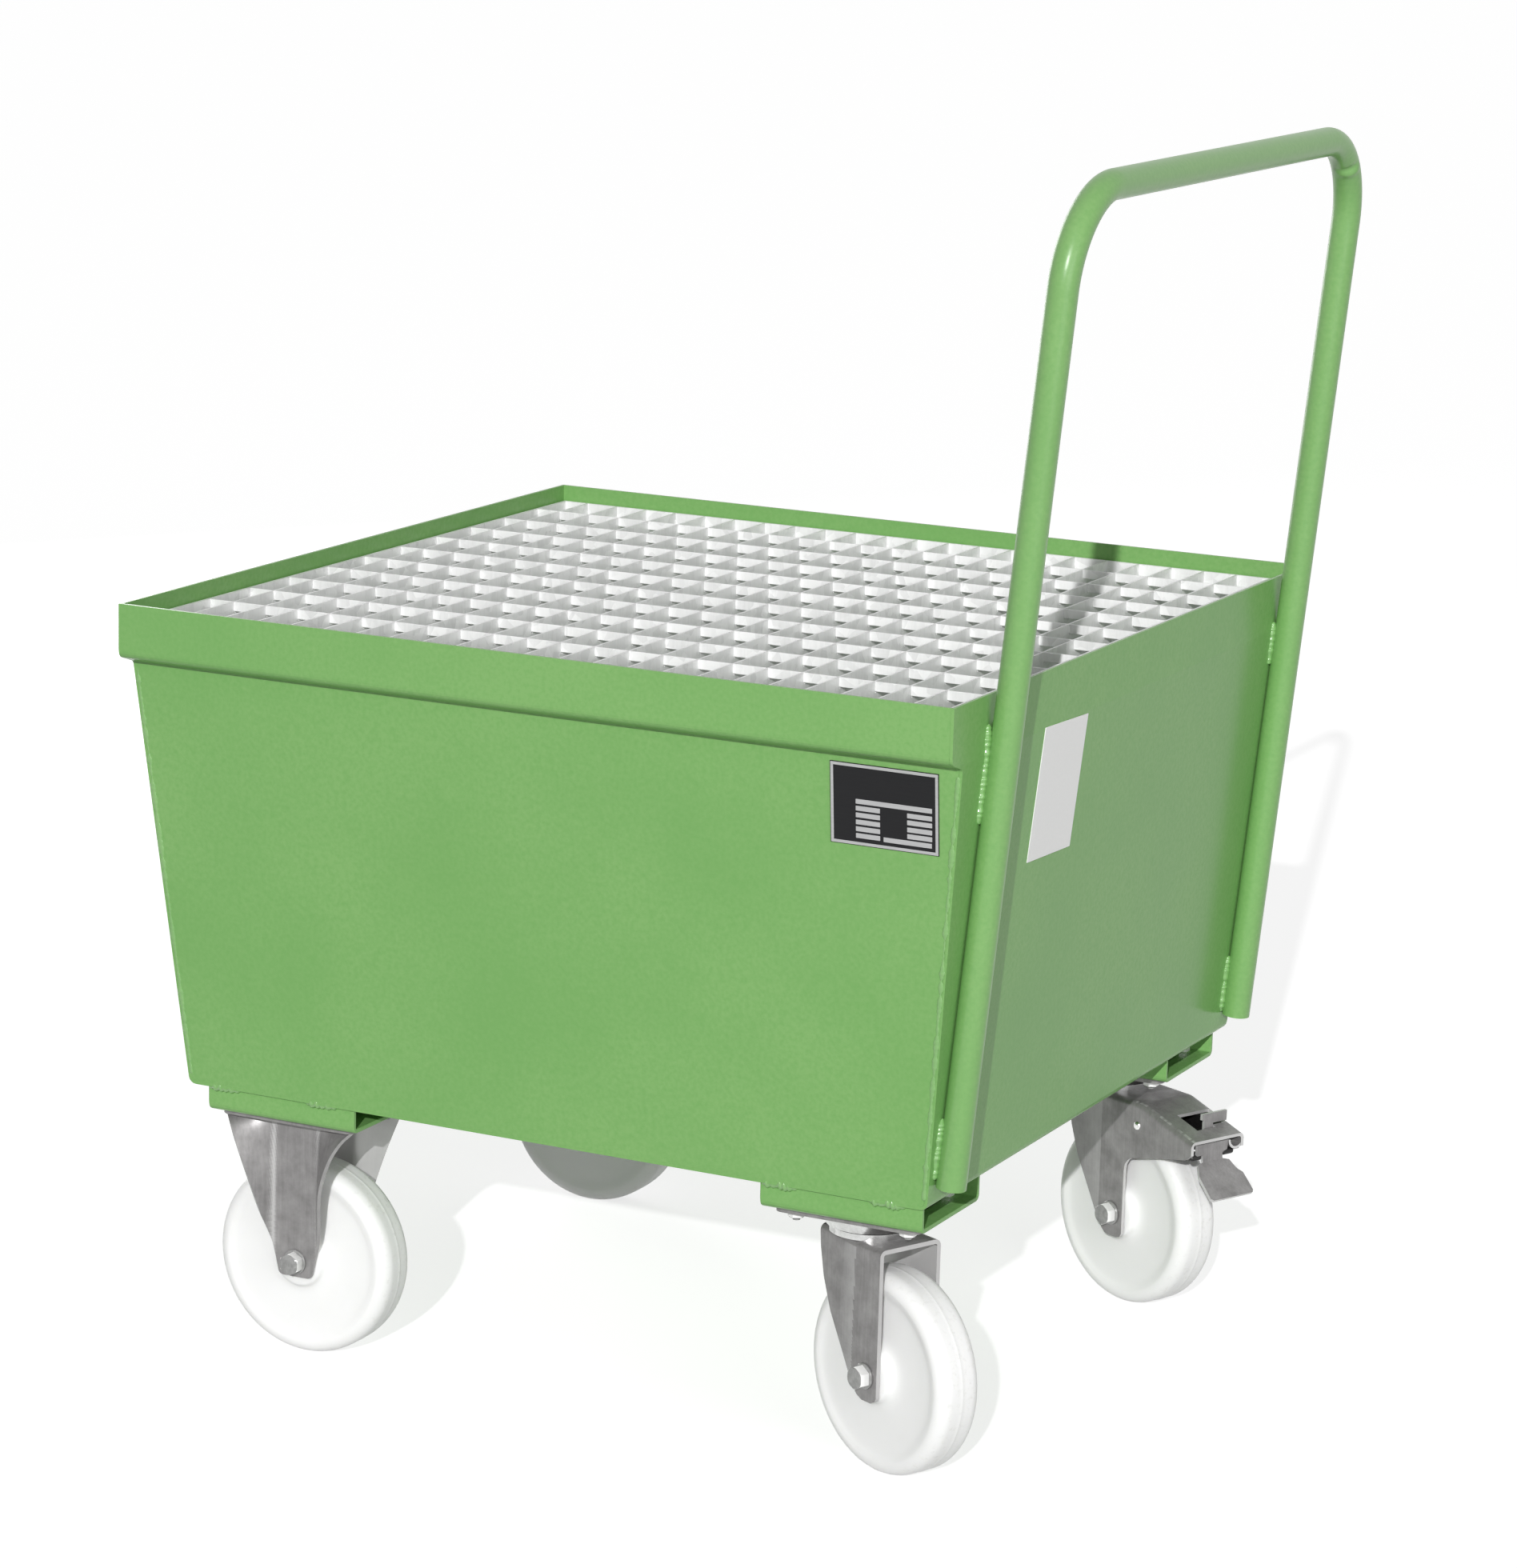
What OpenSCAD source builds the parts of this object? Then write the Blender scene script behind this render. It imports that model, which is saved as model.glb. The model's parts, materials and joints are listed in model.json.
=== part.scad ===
// Spill containment pallet: sheet-steel sump, lift-out grating, tube handle and four castors.
// Millimetres. The floor is z = 0, the push handle is on the right (+x), the front is -y.

/* [Tub] */
// Length of the rim from left to right
rim_x = 800; // [700:5:900]
// Width of the rim from front to back
rim_y = 800; // [700:5:900]
// Height of the rim top above the floor
rim_z = 696; // [600:1:760]
// Height of the tub underside above the floor
tub_z = 253; // [245:1:262]
// Thickness of the tub sheet
sheet = 3; // [2:0.5:4]
// Half length of the tub at its underside
floor_hx = 364.5; // [330:0.5:390]
// Half width of the tub at its underside
floor_hy = 340; // [320:1:370]
// Height of the upright rim face
rim_face = 47; // [40:1:56]
// How far the front and rear panels step in below the rim
step_in = 22; // [18:1:28]
// How far the step falls on its way in
step_drop = 7.5; // [5:0.5:10]
// Inner radius of the sheet bends
bend_r = 4; // [2:0.5:6]

/* [Grating] */
// Height of the bearing bars
grate_h = 30; // [25:1:35]
// Depth of the deck below the rim top
grate_down = 15; // [12:1:16]
// Side gap between the grating and the tub
grate_gap = 3; // [2:0.5:5]
// Thickness of the bearing bars and cross bars
bar_t = 2; // [2:0.5:3]
// Pitch of the bearing bars
bear_pitch = 33.33; // [30:0.01:36]
// Pitch of the cross bars
cross_pitch = 66.67; // [60:0.01:72]
// Height of the cross bars
cross_h = 10; // [8:1:14]
// Thickness of the binding frame
frame_t = 3; // [2:0.5:4]

/* [Handle] */
// Outside diameter of the handle tube
tube_d = 26; // [24:0.1:30]
// Wall of the handle tube
tube_wall = 2.6; // [2:0.1:4]
// Distance between the two legs, centre to centre
handle_w = 650; // [560:2:660]
// Height of the lower leg ends
handle_low = 272; // [266:1:320]
// Height of the top bar centre
handle_top = 1107.5; // [950:0.5:1150]
// Bend radius of the tube centre line
handle_r = 80; // [60:1:110]

/* [Plates] */
// Length of the data plate
plate_x = 98; // [80:1:110]
// Height of the data plate
plate_h = 70; // [60:1:80]
// Width of the document card
card_y = 89; // [70:1:100]
// Height of the document card
card_h = 116; // [90:1:125]

/* [Castors] */
// Diameter of the wheels
wheel_d = 180; // [176:1:184]
// Width of the wheel tread
wheel_w = 45; // [40:1:50]
// Width of the wheel hub
hub_w = 58; // [54:1:58]
// Clear gap between the fork legs
fork_gap = 59; // [59:1:62]
// Thickness of the fork sheet
fork_t = 4; // [3:0.5:5]
// Trail of the swivel castors
trail = 38; // [34:1:42]
// Distance of the castor centres from the middle line
castor_y = 270; // [266:1:272]
// Place of the fixed castors from left to right
fixed_x = -275; // [-280:1:-268]
// Place of the swivel castors from left to right
swivel_x = 281; // [276:1:284]
// How far the swivel castors are turned
swivel_turn = -25; // [-60:1:60]
// Length of the castor top plates
top_x = 135; // [130:1:136]
// Width of the castor top plates
top_y = 105; // [102:1:106]
// Thickness of the castor top plates
top_t = 6; // [5:0.5:7]

/* [Hidden] */
$fn = 64;
// Tub, worked out from the rim
hx = rim_x / 2;
hy = rim_y / 2;
rim_low = rim_z - rim_face;
panel_z = rim_low - step_drop;
panel_hy = hy - step_in;
wall_z = rim_low - 3;
lean = atan((hx - floor_hx) / (wall_z - tub_z));
panel_lean = atan((panel_hy - floor_hy) / (panel_z - tub_z));

// Handle and plates: where they sit, and the hairline they stand off the sheet
seat = 0.08;
tube_r = tube_d / 2;
plate_t = 1;
plate_from_edge = 70.5;
plate_under = 6;
card_t = 0.8;
card_at = -168;
card_under = 4;
handle_out = hx + (tube_r + seat) / cos(lean) + (handle_top - wall_z) * tan(lean) + tube_r;
tub_x = (hx - handle_out) / 2;

// Wheels and axles
wheel_r = wheel_d / 2;
tread_r = 12;
hub_r = 23;
dish = 5.5;
axle_z = wheel_r;
fork_in = fork_gap / 2;
fork_out = fork_in + fork_t;
axle_d = 12;
sleeve_d = 20;
axle_head = 18;
axle_head_h = 5.5;
washer_d = 24;
washer_t = 1.5;
axle_nut_w = 19;
axle_nut_h = 10;
axle_end = 12;
loose = 0.2;
running = 0.1;

// Castor plates, their bolts and the brackets that carry them
hole_x = 105;
hole_y = 75;
bolt_d = 8;
hole_d = 9;
bolt_w = 13;
bolt_head_h = 5.3;
bolt_nut_h = 6.5;
bolt_end = 9;
bracket_t = 4;
bracket_x = 152;
bracket_y = 117;
bracket_r = 2;
bracket_back = -7;
fixed_shift = 4;
swivel_shift = 2;
plate_r = 8;
plate_top = 230;
plate_low = plate_top - top_t;

// Swivel heads and forks
crown_top = 205;
crown_low = crown_top - fork_t;
leg_low = axle_z - 22;
pin_d = 12;
pin_head_r = 11;
pin_head_h = 7.5;
race_r = 31;
ball_d = 7;
balls_n = 16;
ball_play = 0.3;
race_t = 6;
race_top = plate_low - race_t;
cap_r = 44;
skirt_r = 36.5;
skirt_h = 12;
ring_r = 35.8;
ring_bore = 14;
fold_at = 20;
fold_in = 6;
hood_flat = 74;
hood_end = 142;
hood_end_z = 183;
hood_t = 3;
hood_lean = atan((crown_top - hood_end_z) / (hood_end - hood_flat));

// Brake, as places along the trail (t) and up (z) from the king pin
pedal_t = 136;
pedal_z = 170;
pedal_pin = 6;
pedal_barrel = 11;
pedal_w = 46;
tread_t = 2.5;
tread_turn = 43;
tab_t = 3;
tab_at = 123;
nose_t = 3.5;
shoe_t = 70;
shoe_z = 183;
shoe_pin = 8;
shoe_barrel = 13;
shoe_gap = 0.4;
pin_head = 2;

// Grating
grate_x = hx - sheet - grate_gap;
grate_y = hy - sheet - grate_gap;
grate_top = rim_z - grate_down;
grate_low = grate_top - grate_h;
bear_n = floor((grate_x - frame_t - 12) / bear_pitch);
cross_n = floor((grate_y - frame_t - 12) / cross_pitch);

// Colours
paint = [0.45, 0.67, 0.37];
zinc = [0.72, 0.73, 0.74];
steel = [0.46, 0.46, 0.47];
bright = [0.80, 0.81, 0.82];
nylon = [0.95, 0.95, 0.93];
dark = [0.18, 0.18, 0.19];
card = [0.88, 0.88, 0.88];

// Geometry helpers: a bent sheet is a path given thickness on one side and round corners.
function unit(v) = v / norm(v);
function left(v) = [-v[1], v[0]];
function meet(p, u, q, v) = p + u * (cross(q - p, v) / cross(u, v));
function moved(p, q, t) = p + t * left(unit(q - p));
function beside(pts, t) = [
  for (i = [0:len(pts) - 1])
    i == 0 ? moved(pts[0], pts[1], t)
    : i == len(pts) - 1 ? pts[i] + t * left(unit(pts[i] - pts[i - 1]))
    : meet(moved(pts[i - 1], pts[i], t), unit(pts[i] - pts[i - 1]),
           moved(pts[i], pts[i + 1], t), unit(pts[i + 1] - pts[i]))
];
function arc_points(a, b, c, r, n) =
  let (u = unit(a - b), v = unit(c - b))
  let (half = acos(u * v) / 2)
  let (p = b + u * (r / tan(half)), q = b + v * (r / tan(half)))
  let (o = b + unit(u + v) * (r / sin(half)))
  let (a0 = atan2(p[1] - o[1], p[0] - o[0]), a1 = atan2(q[1] - o[1], q[0] - o[0]))
  let (turn = (a1 - a0 + 540) % 360 - 180)
  [for (i = [0:n]) o + r * [cos(a0 + turn * i / n), sin(a0 + turn * i / n)]];
function bent(pts, r, t, n) = [
  for (i = [0:len(pts) - 1])
    let (ends = i == 0 || i == len(pts) - 1)
    let (side = ends ? 0 : cross(pts[i] - pts[i - 1], pts[i + 1] - pts[i]) * t)
    let (list = ends ? [pts[i]] : arc_points(pts[i - 1], pts[i], pts[i + 1], side > 0 ? r + abs(t) : r, n))
    for (p = list) p
];
function back_to_front(list) = [for (i = [len(list) - 1:-1:0]) list[i]];
function flipped(list) = [for (p = list) [-p[0], p[1]]];

module bent_sheet(pts, r, t, n = 4) {
  polygon(concat(bent(pts, r, t, n), back_to_front(bent(beside(pts, t), r, -t, n))));
}

// Drawn in the y-z plane and given a length along x.
module along_x(length) {
  rotate([90, 0, 90])
    linear_extrude(length, center = true)
      children();
}

// Drawn in the x-z plane and given a length along y.
module along_y(length) {
  rotate([90, 0, 0])
    linear_extrude(length, center = true)
      children();
}

module in_tub() {
  translate([tub_x, 0, 0])
    children();
}

module at_fixed(side) {
  in_tub()
    translate([fixed_x, side * castor_y, 0])
      children();
}

module at_swivel(side) {
  in_tub()
    translate([swivel_x, side * castor_y, 0])
      rotate([0, 0, swivel_turn])
        children();
}

// Tub
wrap_path = [
  [-hx, rim_z], [-hx, wall_z], [-floor_hx, tub_z],
  [floor_hx, tub_z], [hx, wall_z], [hx, rim_z]
];
panel_path = [
  [-floor_hy, tub_z], [-panel_hy, panel_z], [-hy, rim_low], [-hy, rim_z]
];

module tub_wrap() {
  edge = bent(panel_path, bend_r, -sheet, 4);
  color(paint)
    in_tub()
      intersection() {
        along_y(rim_y + 20)
          bent_sheet(wrap_path, bend_r, sheet);
        along_x(rim_x + 20)
          polygon(concat(edge, back_to_front(flipped(edge))));
      }
}

module end_panel() {
  intersection() {
    along_x(rim_x)
      bent_sheet(panel_path, bend_r, -sheet);
    along_y(rim_y + 20)
      polygon(bent(beside(wrap_path, sheet), bend_r, -sheet, 4));
  }
}

module front_panel() {
  color(paint)
    in_tub()
      end_panel();
}

module rear_panel() {
  color(paint)
    in_tub()
      mirror([0, 1, 0])
        end_panel();
}

// Brackets: U channels, open left and right, welded under the tub floor.
module bracket(x, y, castor) {
  w = bracket_y / 2;
  color(paint)
    in_tub()
      difference() {
        translate([x, y, 0])
          along_x(bracket_x)
            bent_sheet([[-w, tub_z], [-w, plate_top], [w, plate_top], [w, tub_z]], bracket_r, bracket_t);
        translate([castor[0], castor[1], plate_top - 1])
          bolt_holes(bracket_t + 2);
      }
}

module bolt_holes(depth) {
  for (i = [-1, 1], j = [-1, 1])
    translate([i * hole_x / 2, j * hole_y / 2, 0])
      cylinder(d = hole_d, h = depth, $fn = 32);
}

module bracket_fl() {
  bracket(fixed_x + fixed_shift, -castor_y + bracket_back, [fixed_x, -castor_y]);
}

module bracket_rl() {
  bracket(fixed_x + fixed_shift, castor_y + bracket_back, [fixed_x, castor_y]);
}

module bracket_fr() {
  bracket(swivel_x + swivel_shift, -castor_y + bracket_back, [swivel_x, -castor_y]);
}

module bracket_rr() {
  bracket(swivel_x + swivel_shift, castor_y + bracket_back, [swivel_x, castor_y]);
}

// Castor bolts sit head up in the channel, the nuts are under the top plate.
module hex_bar(flats, h) {
  cylinder(d = flats / cos(30), h = h, $fn = 6);
}

module bolt_set(x, y) {
  color(zinc)
    in_tub()
      translate([x, y, 0])
        for (i = [-1, 1], j = [-1, 1])
          translate([i * hole_x / 2, j * hole_y / 2, 0]) {
            translate([0, 0, plate_top + bracket_t])
              hex_bar(bolt_w, bolt_head_h);
            translate([0, 0, plate_low - bolt_end])
              cylinder(d = bolt_d, h = bracket_t + top_t + bolt_end, $fn = 32);
          }
}

module nut_set(x, y) {
  color(zinc)
    in_tub()
      translate([x, y, 0])
        for (i = [-1, 1], j = [-1, 1])
          translate([i * hole_x / 2, j * hole_y / 2, plate_low - bolt_nut_h])
            difference() {
              hex_bar(bolt_w, bolt_nut_h);
              translate([0, 0, -1])
                cylinder(d = bolt_d + loose, h = bolt_nut_h + 2, $fn = 32);
            }
}

module bolts_fl() {
  bolt_set(fixed_x, -castor_y);
}

module bolts_rl() {
  bolt_set(fixed_x, castor_y);
}

module bolts_fr() {
  bolt_set(swivel_x, -castor_y);
}

module bolts_rr() {
  bolt_set(swivel_x, castor_y);
}

module nuts_fl() {
  nut_set(fixed_x, -castor_y);
}

module nuts_rl() {
  nut_set(fixed_x, castor_y);
}

module nuts_fr() {
  nut_set(swivel_x, -castor_y);
}

module nuts_rr() {
  nut_set(swivel_x, castor_y);
}

// Push handle: two leaning legs, two bends and the top bar of one tube.
module tube(length, d) {
  cylinder(d = d, h = length);
}

module handle_run(d, over) {
  w = handle_w / 2;
  run = (handle_top - handle_low) / cos(lean);
  for (s = [-1, 1]) {
    translate([0, s * w, -over])
      tube(run - handle_r + over, d);
    translate([0, s * (w - handle_r), run - handle_r])
      rotate([0, -90, 0])
        rotate([0, 0, s > 0 ? 0 : -90])
          rotate_extrude(angle = 90)
            translate([handle_r, 0])
              circle(d = d);
  }
  translate([0, -(w - handle_r), run])
    rotate([-90, 0, 0])
      tube(2 * (w - handle_r), d);
}

module push_handle() {
  x = hx + (tube_r + seat) / cos(lean) + (handle_low - wall_z) * tan(lean);
  color(paint)
    in_tub()
      translate([x, 0, handle_low])
        rotate([0, lean, 0])
          difference() {
            handle_run(tube_d, 0);
            handle_run(tube_d - 2 * tube_wall, 1);
          }
}

// Plates: both are left bare.
module data_plate() {
  color(dark)
    in_tub()
      translate([hx - plate_from_edge, -panel_hy, panel_z])
        rotate([panel_lean, 0, 0])
          translate([-plate_x / 2, -plate_t - seat, -plate_h - plate_under])
            cube([plate_x, plate_t, plate_h]);
}

module document_card() {
  color(card)
    in_tub()
      translate([hx, card_at, wall_z])
        rotate([0, lean, 0])
          translate([seat, -card_y / 2, -card_h - card_under])
            cube([card_t, card_y, card_h]);
}

// Grating
module bar_row(count, pitch) {
  for (i = [-count:count])
    translate([i * pitch, 0, 0])
      children();
}

module grating_frame() {
  color(zinc)
    in_tub()
      translate([0, 0, grate_low])
        linear_extrude(grate_h)
          difference() {
            square([2 * grate_x, 2 * grate_y], center = true);
            square([2 * (grate_x - frame_t), 2 * (grate_y - frame_t)], center = true);
          }
}

module bearing_bars() {
  span = 2 * (grate_y - frame_t);
  color(zinc)
    in_tub()
      bar_row(bear_n, bear_pitch)
        along_x(bar_t)
          translate([0, grate_low])
            difference() {
              translate([-span / 2, 0])
                square([span, grate_h]);
              bar_row(cross_n, cross_pitch)
                translate([-bar_t / 2, grate_h - cross_h])
                  square([bar_t, cross_h + 1]);
            }
}

module cross_bars() {
  span = 2 * (grate_x - frame_t);
  color(zinc)
    in_tub()
      for (i = [-cross_n:cross_n])
        translate([-span / 2, i * cross_pitch - bar_t / 2, grate_top - cross_h])
          cube([span, bar_t, cross_h]);
}

// Fixed castor fork: top plate and two trapezoid legs with wings bent away from the wheel.
module fixed_leg() {
  web = 24;
  tip = 56;
  wing = 38;
  path = [
    [-tip - 8, -(tip + 8 - web) * tan(wing)], [-web, 0],
    [web, 0], [tip + 8, -(tip + 8 - web) * tan(wing)]
  ];
  half = [
    [6, leg_low + 4], [12, leg_low + 6.5], [17, 84], [25, 104.5], [33, 139],
    [43, 176], [50, 196], [tip - 1, plate_low - 12], [tip, plate_low + 1]
  ];
  intersection() {
    translate([0, -fork_in, leg_low])
      linear_extrude(plate_low - leg_low)
        bent_sheet(path, 6, -fork_t);
    along_y(200)
      polygon(concat(half, back_to_front(flipped(half))));
  }
}

module fixed_fork() {
  difference() {
    union() {
      translate([0, 0, plate_low])
        linear_extrude(top_t)
          rounded_plate(top_x, top_y, plate_r);
      fixed_leg();
      mirror([0, 1, 0])
        fixed_leg();
    }
    translate([0, 0, plate_low - 1])
      bolt_holes(top_t + 2);
    axle_hole();
  }
}

module rounded_plate(x, y, r) {
  square([x - 2 * r, y], center = true);
  square([x, y - 2 * r], center = true);
  for (i = [-1, 1], j = [-1, 1])
    translate([i * (x / 2 - r), j * (y / 2 - r)])
      circle(r);
}

module axle_hole() {
  translate([0, 0, axle_z])
    rotate([90, 0, 0])
      cylinder(d = axle_d + loose, h = 120, center = true, $fn = 32);
}

module fixed_fork_fl() {
  color(steel)
    at_fixed(-1)
      fixed_fork();
}

module fixed_fork_rl() {
  color(steel)
    at_fixed(1)
      fixed_fork();
}

// Swivel head: top plate, upper race, balls, lower race and king pin.
module swivel_plate() {
  difference() {
    translate([0, 0, plate_low])
      linear_extrude(top_t)
        rounded_plate(top_x, top_y, plate_r);
    translate([0, 0, plate_low - 1])
      bolt_holes(top_t + 2);
    translate([0, 0, plate_low - 1])
      cylinder(d = pin_d + loose, h = top_t + 2);
  }
}

module swivel_plate_fr() {
  color(steel)
    in_tub()
      translate([swivel_x, -castor_y, 0])
        swivel_plate();
}

module swivel_plate_rr() {
  color(steel)
    in_tub()
      translate([swivel_x, castor_y, 0])
        swivel_plate();
}

module upper_race() {
  bore = (pin_d + loose) / 2;
  color(bright)
    rotate_extrude($fn = 96)
      polygon([
        [bore, plate_low], [cap_r, plate_low], [cap_r, plate_low - 3], [cap_r - 5, plate_low - skirt_h],
        [skirt_r, plate_low - skirt_h], [skirt_r, race_top], [24, race_top], [22, race_top + 2],
        [bore, race_top + 2]
      ]);
}

module upper_race_fr() {
  at_swivel(-1)
    upper_race();
}

module upper_race_rr() {
  at_swivel(1)
    upper_race();
}

module king_pin() {
  head = crown_low - 0.5;
  color(bright)
    rotate_extrude()
      polygon([
        [0, plate_top], [pin_d / 2, plate_top], [pin_d / 2, head],
        [pin_head_r, head], [pin_head_r, head - pin_head_h + 2], [pin_head_r - 2, head - pin_head_h],
        [0, head - pin_head_h]
      ]);
}

module king_pin_fr() {
  at_swivel(-1)
    king_pin();
}

module king_pin_rr() {
  at_swivel(1)
    king_pin();
}

module lower_race() {
  ring = race_top - ball_d - 2 * ball_play;
  color(bright)
    rotate_extrude($fn = 96)
      polygon([
        [ring_bore, crown_top], [ring_r, crown_top], [ring_r, ring], [ring_bore, ring]
      ]);
}

module lower_race_fr() {
  at_swivel(-1)
    lower_race();
}

module lower_race_rr() {
  at_swivel(1)
    lower_race();
}

module balls() {
  color(bright)
    for (i = [1:balls_n])
      rotate([0, 0, i * 360 / balls_n])
        translate([race_r, 0, race_top - ball_play - ball_d / 2])
          sphere(d = ball_d, $fn = 24);
}

module balls_fr() {
  at_swivel(-1)
    balls();
}

module balls_rr() {
  at_swivel(1)
    balls();
}

// Swivel fork: crown and two legs. The braked fork runs on into a hood over the wheel.
leg_edge = [
  [-36, crown_top], [-34, 185], [-28, 160], [-16, 133], [21, 80], [27, leg_low + 4], [35, leg_low],
  [47, leg_low], [52, leg_low + 1.5], [54, leg_low + 5]
];
plain_edge = concat(leg_edge, [[54, crown_top]]);
hood_edge = concat(leg_edge, [
  [54, 136], [55.2, 142], [58.5, 147], [63, 150], [69, 151.5], [106, 160.5], [126, 164.2], [131, 164.3],
  [136, 163.3], [140, 164.5], [hood_end, 167], [hood_end, hood_end_z], [hood_flat, crown_top]
]);

module side_plates(edge) {
  intersection() {
    translate([0, 0, leg_low - 1])
      linear_extrude(crown_top - leg_low + 1)
        for (s = [0, 1])
          mirror([0, s])
            bent_sheet([[-38, fold_in - fork_in], [fold_at, -fork_in], [hood_end + 2, -fork_in]], 6, -fork_t);
    along_y(200)
      polygon(edge);
  }
}

module crown(to) {
  from = -36;
  near = fork_out - fold_in * (fold_at - from) / (fold_at + 38);
  translate([0, 0, crown_low])
    linear_extrude(fork_t)
      polygon([
        [from, -near], [fold_at, -fork_out], [to, -fork_out],
        [to, fork_out], [fold_at, fork_out], [from, near]
      ]);
}

module pin_bore() {
  translate([0, 0, crown_low - 1])
    cylinder(d = pin_d + running, h = fork_t + 2);
}

module leg_axle_hole() {
  translate([trail, 0, 0])
    axle_hole();
}

module swivel_fork_fr() {
  color(steel)
    at_swivel(-1)
      difference() {
        union() {
          side_plates(plain_edge);
          crown(54);
        }
        pin_bore();
        leg_axle_hole();
        translate([90, 0, crown_low - 1])
          cylinder(r = 45, h = fork_t + 2, $fn = 96);
      }
}

module hood_roof() {
  run = (hood_end - 7 - hood_flat) / cos(hood_lean);
  translate([hood_flat, 0, crown_top])
    rotate([0, hood_lean, 0])
      difference() {
        translate([-1, -fork_out, -hood_t])
          cube([run + 1, 2 * fork_out, hood_t]);
        translate([28, -11, -5])
          cube([28, 22, 10]);
      }
}

module brake_fork_rr() {
  color(steel)
    at_swivel(1)
      difference() {
        union() {
          side_plates(hood_edge);
          crown(hood_flat);
          hood_roof();
        }
        pin_bore();
        leg_axle_hole();
        across(pedal_t, pedal_z)
          cylinder(d = pedal_pin + loose, h = 120, center = true, $fn = 32);
        across(shoe_t, shoe_z)
          cylinder(d = shoe_pin + loose, h = 120, center = true, $fn = 32);
      }
}

// Brake: the pedal rocks on its pin and its nose tips the shoe on to the tread.
module across(t, z) {
  translate([t, 0, z])
    rotate([90, 0, 0])
      children();
}

module headed_pin(d) {
  cylinder(d = d, h = 2 * fork_out, center = true, $fn = 32);
  for (s = [-1, 1])
    translate([0, 0, s * (fork_out + pin_head / 2)])
      cylinder(d = d + 2 * pin_head, h = pin_head, center = true, $fn = 32);
}

module pedal_pin() {
  color(dark)
    at_swivel(1)
      across(pedal_t, pedal_z)
        headed_pin(pedal_pin);
}

module shoe_pin() {
  color(bright)
    at_swivel(1)
      across(shoe_t, shoe_z)
        headed_pin(shoe_pin);
}

module lever_bar(pts, mid, wide, thick) {
  translate([0, mid, 0])
    along_y(wide)
      bent_sheet(pts, 2, thick);
}

module brake_pedal() {
  color(steel)
    at_swivel(1)
      difference() {
        union() {
          across(pedal_t, pedal_z)
            cylinder(d = pedal_barrel, h = pedal_w, center = true, $fn = 48);
          lever_bar([[140, 181], [140, 166]], -8.5, 41, tread_t);
          lever_bar([[140, 168], [140, 160], [144, 156]], -11, 23, tread_t);
          pedal_tread();
          lever_bar([[134, 173], [tab_at, 180], [tab_at + 0.5, 205]], 3, 15, -tab_t);
          lever_bar([[tab_at + 0.35, 196], [tab_at + 0.5, 207]], 10, 31, -tab_t);
          lever_bar([[134, 172.5], [115, 172.5]], 0, 14, -nose_t);
        }
        across(pedal_t, pedal_z)
          cylinder(d = pedal_pin + running, h = 120, center = true, $fn = 48);
      }
}

module pedal_tread() {
  translate([141.5, 0, 159])
    rotate([0, tread_turn, 0])
      linear_extrude(tread_t)
        polygon([
          [0, -22.5], [3, -32], [36, -31], [38, -29], [38, 20], [36, 21.5], [12, 17], [3, 10.5], [0, 0.5]
        ]);
}

module brake_shoe() {
  color(steel)
    at_swivel(1)
      difference() {
        union() {
          across(shoe_t, shoe_z)
            cylinder(d = shoe_barrel, h = 40, center = true, $fn = 48);
          lever_bar([[70, 184.5], [118, 176.4]], 0, 12, 3);
          translate([44, -15, 176])
            cube([22, 30, 12]);
        }
        across(shoe_t, shoe_z)
          cylinder(d = shoe_pin + running, h = 120, center = true, $fn = 48);
        across(trail, axle_z)
          cylinder(r = wheel_r + shoe_gap, h = 120, center = true, $fn = 180);
      }
}

// Axles and wheels
module axle_bolt() {
  color(zinc)
    across(0, axle_z) {
      translate([0, 0, -fork_out - axle_end])
        cylinder(d = axle_d, h = 2 * fork_out + axle_end, $fn = 32);
      translate([0, 0, fork_out])
        cylinder(d = washer_d, h = washer_t, $fn = 48);
      translate([0, 0, fork_out + washer_t])
        hex_bar(axle_head, axle_head_h);
    }
}

module axle_nut() {
  color(zinc)
    across(0, axle_z)
      translate([0, 0, -fork_out - axle_nut_h])
        difference() {
          hex_bar(axle_nut_w, axle_nut_h);
          translate([0, 0, -1])
            cylinder(d = axle_d + loose, h = axle_nut_h + 2, $fn = 32);
        }
}

module axle_sleeve() {
  color(bright)
    across(0, axle_z)
      difference() {
        cylinder(d = sleeve_d, h = fork_gap, center = true);
        cylinder(d = axle_d + 2 * loose, h = fork_gap + 2, center = true);
      }
}

function half_wheel() = let (w = wheel_w / 2, h = hub_w / 2, b = (sleeve_d + running) / 2, r = tread_r)
  concat(
    [[b, h], [hub_r, h], [hub_r + 3, h - 3], [hub_r + 7, w - dish + 0.5]],
    [[wheel_r - 28, w - dish], [wheel_r - 20, w - 1], [wheel_r - r, w]],
    [for (a = [15:15:75]) [wheel_r - r + r * sin(a), w - r + r * cos(a)]],
    [[wheel_r, w - r]]
  );

module wheel() {
  top = half_wheel();
  color(nylon)
    across(0, axle_z)
      rotate_extrude($fn = 120)
        polygon(concat(top, [for (i = [len(top) - 1:-1:0]) [top[i][0], -top[i][1]]]));
}

module at_trail(side) {
  at_swivel(side)
    translate([trail, 0, 0])
      children();
}

module axle_bolt_fl() {
  at_fixed(-1)
    axle_bolt();
}

module axle_bolt_rl() {
  at_fixed(1)
    axle_bolt();
}

module axle_bolt_fr() {
  at_trail(-1)
    axle_bolt();
}

module axle_bolt_rr() {
  at_trail(1)
    axle_bolt();
}

module axle_nut_fl() {
  at_fixed(-1)
    axle_nut();
}

module axle_nut_rl() {
  at_fixed(1)
    axle_nut();
}

module axle_nut_fr() {
  at_trail(-1)
    axle_nut();
}

module axle_nut_rr() {
  at_trail(1)
    axle_nut();
}

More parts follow.
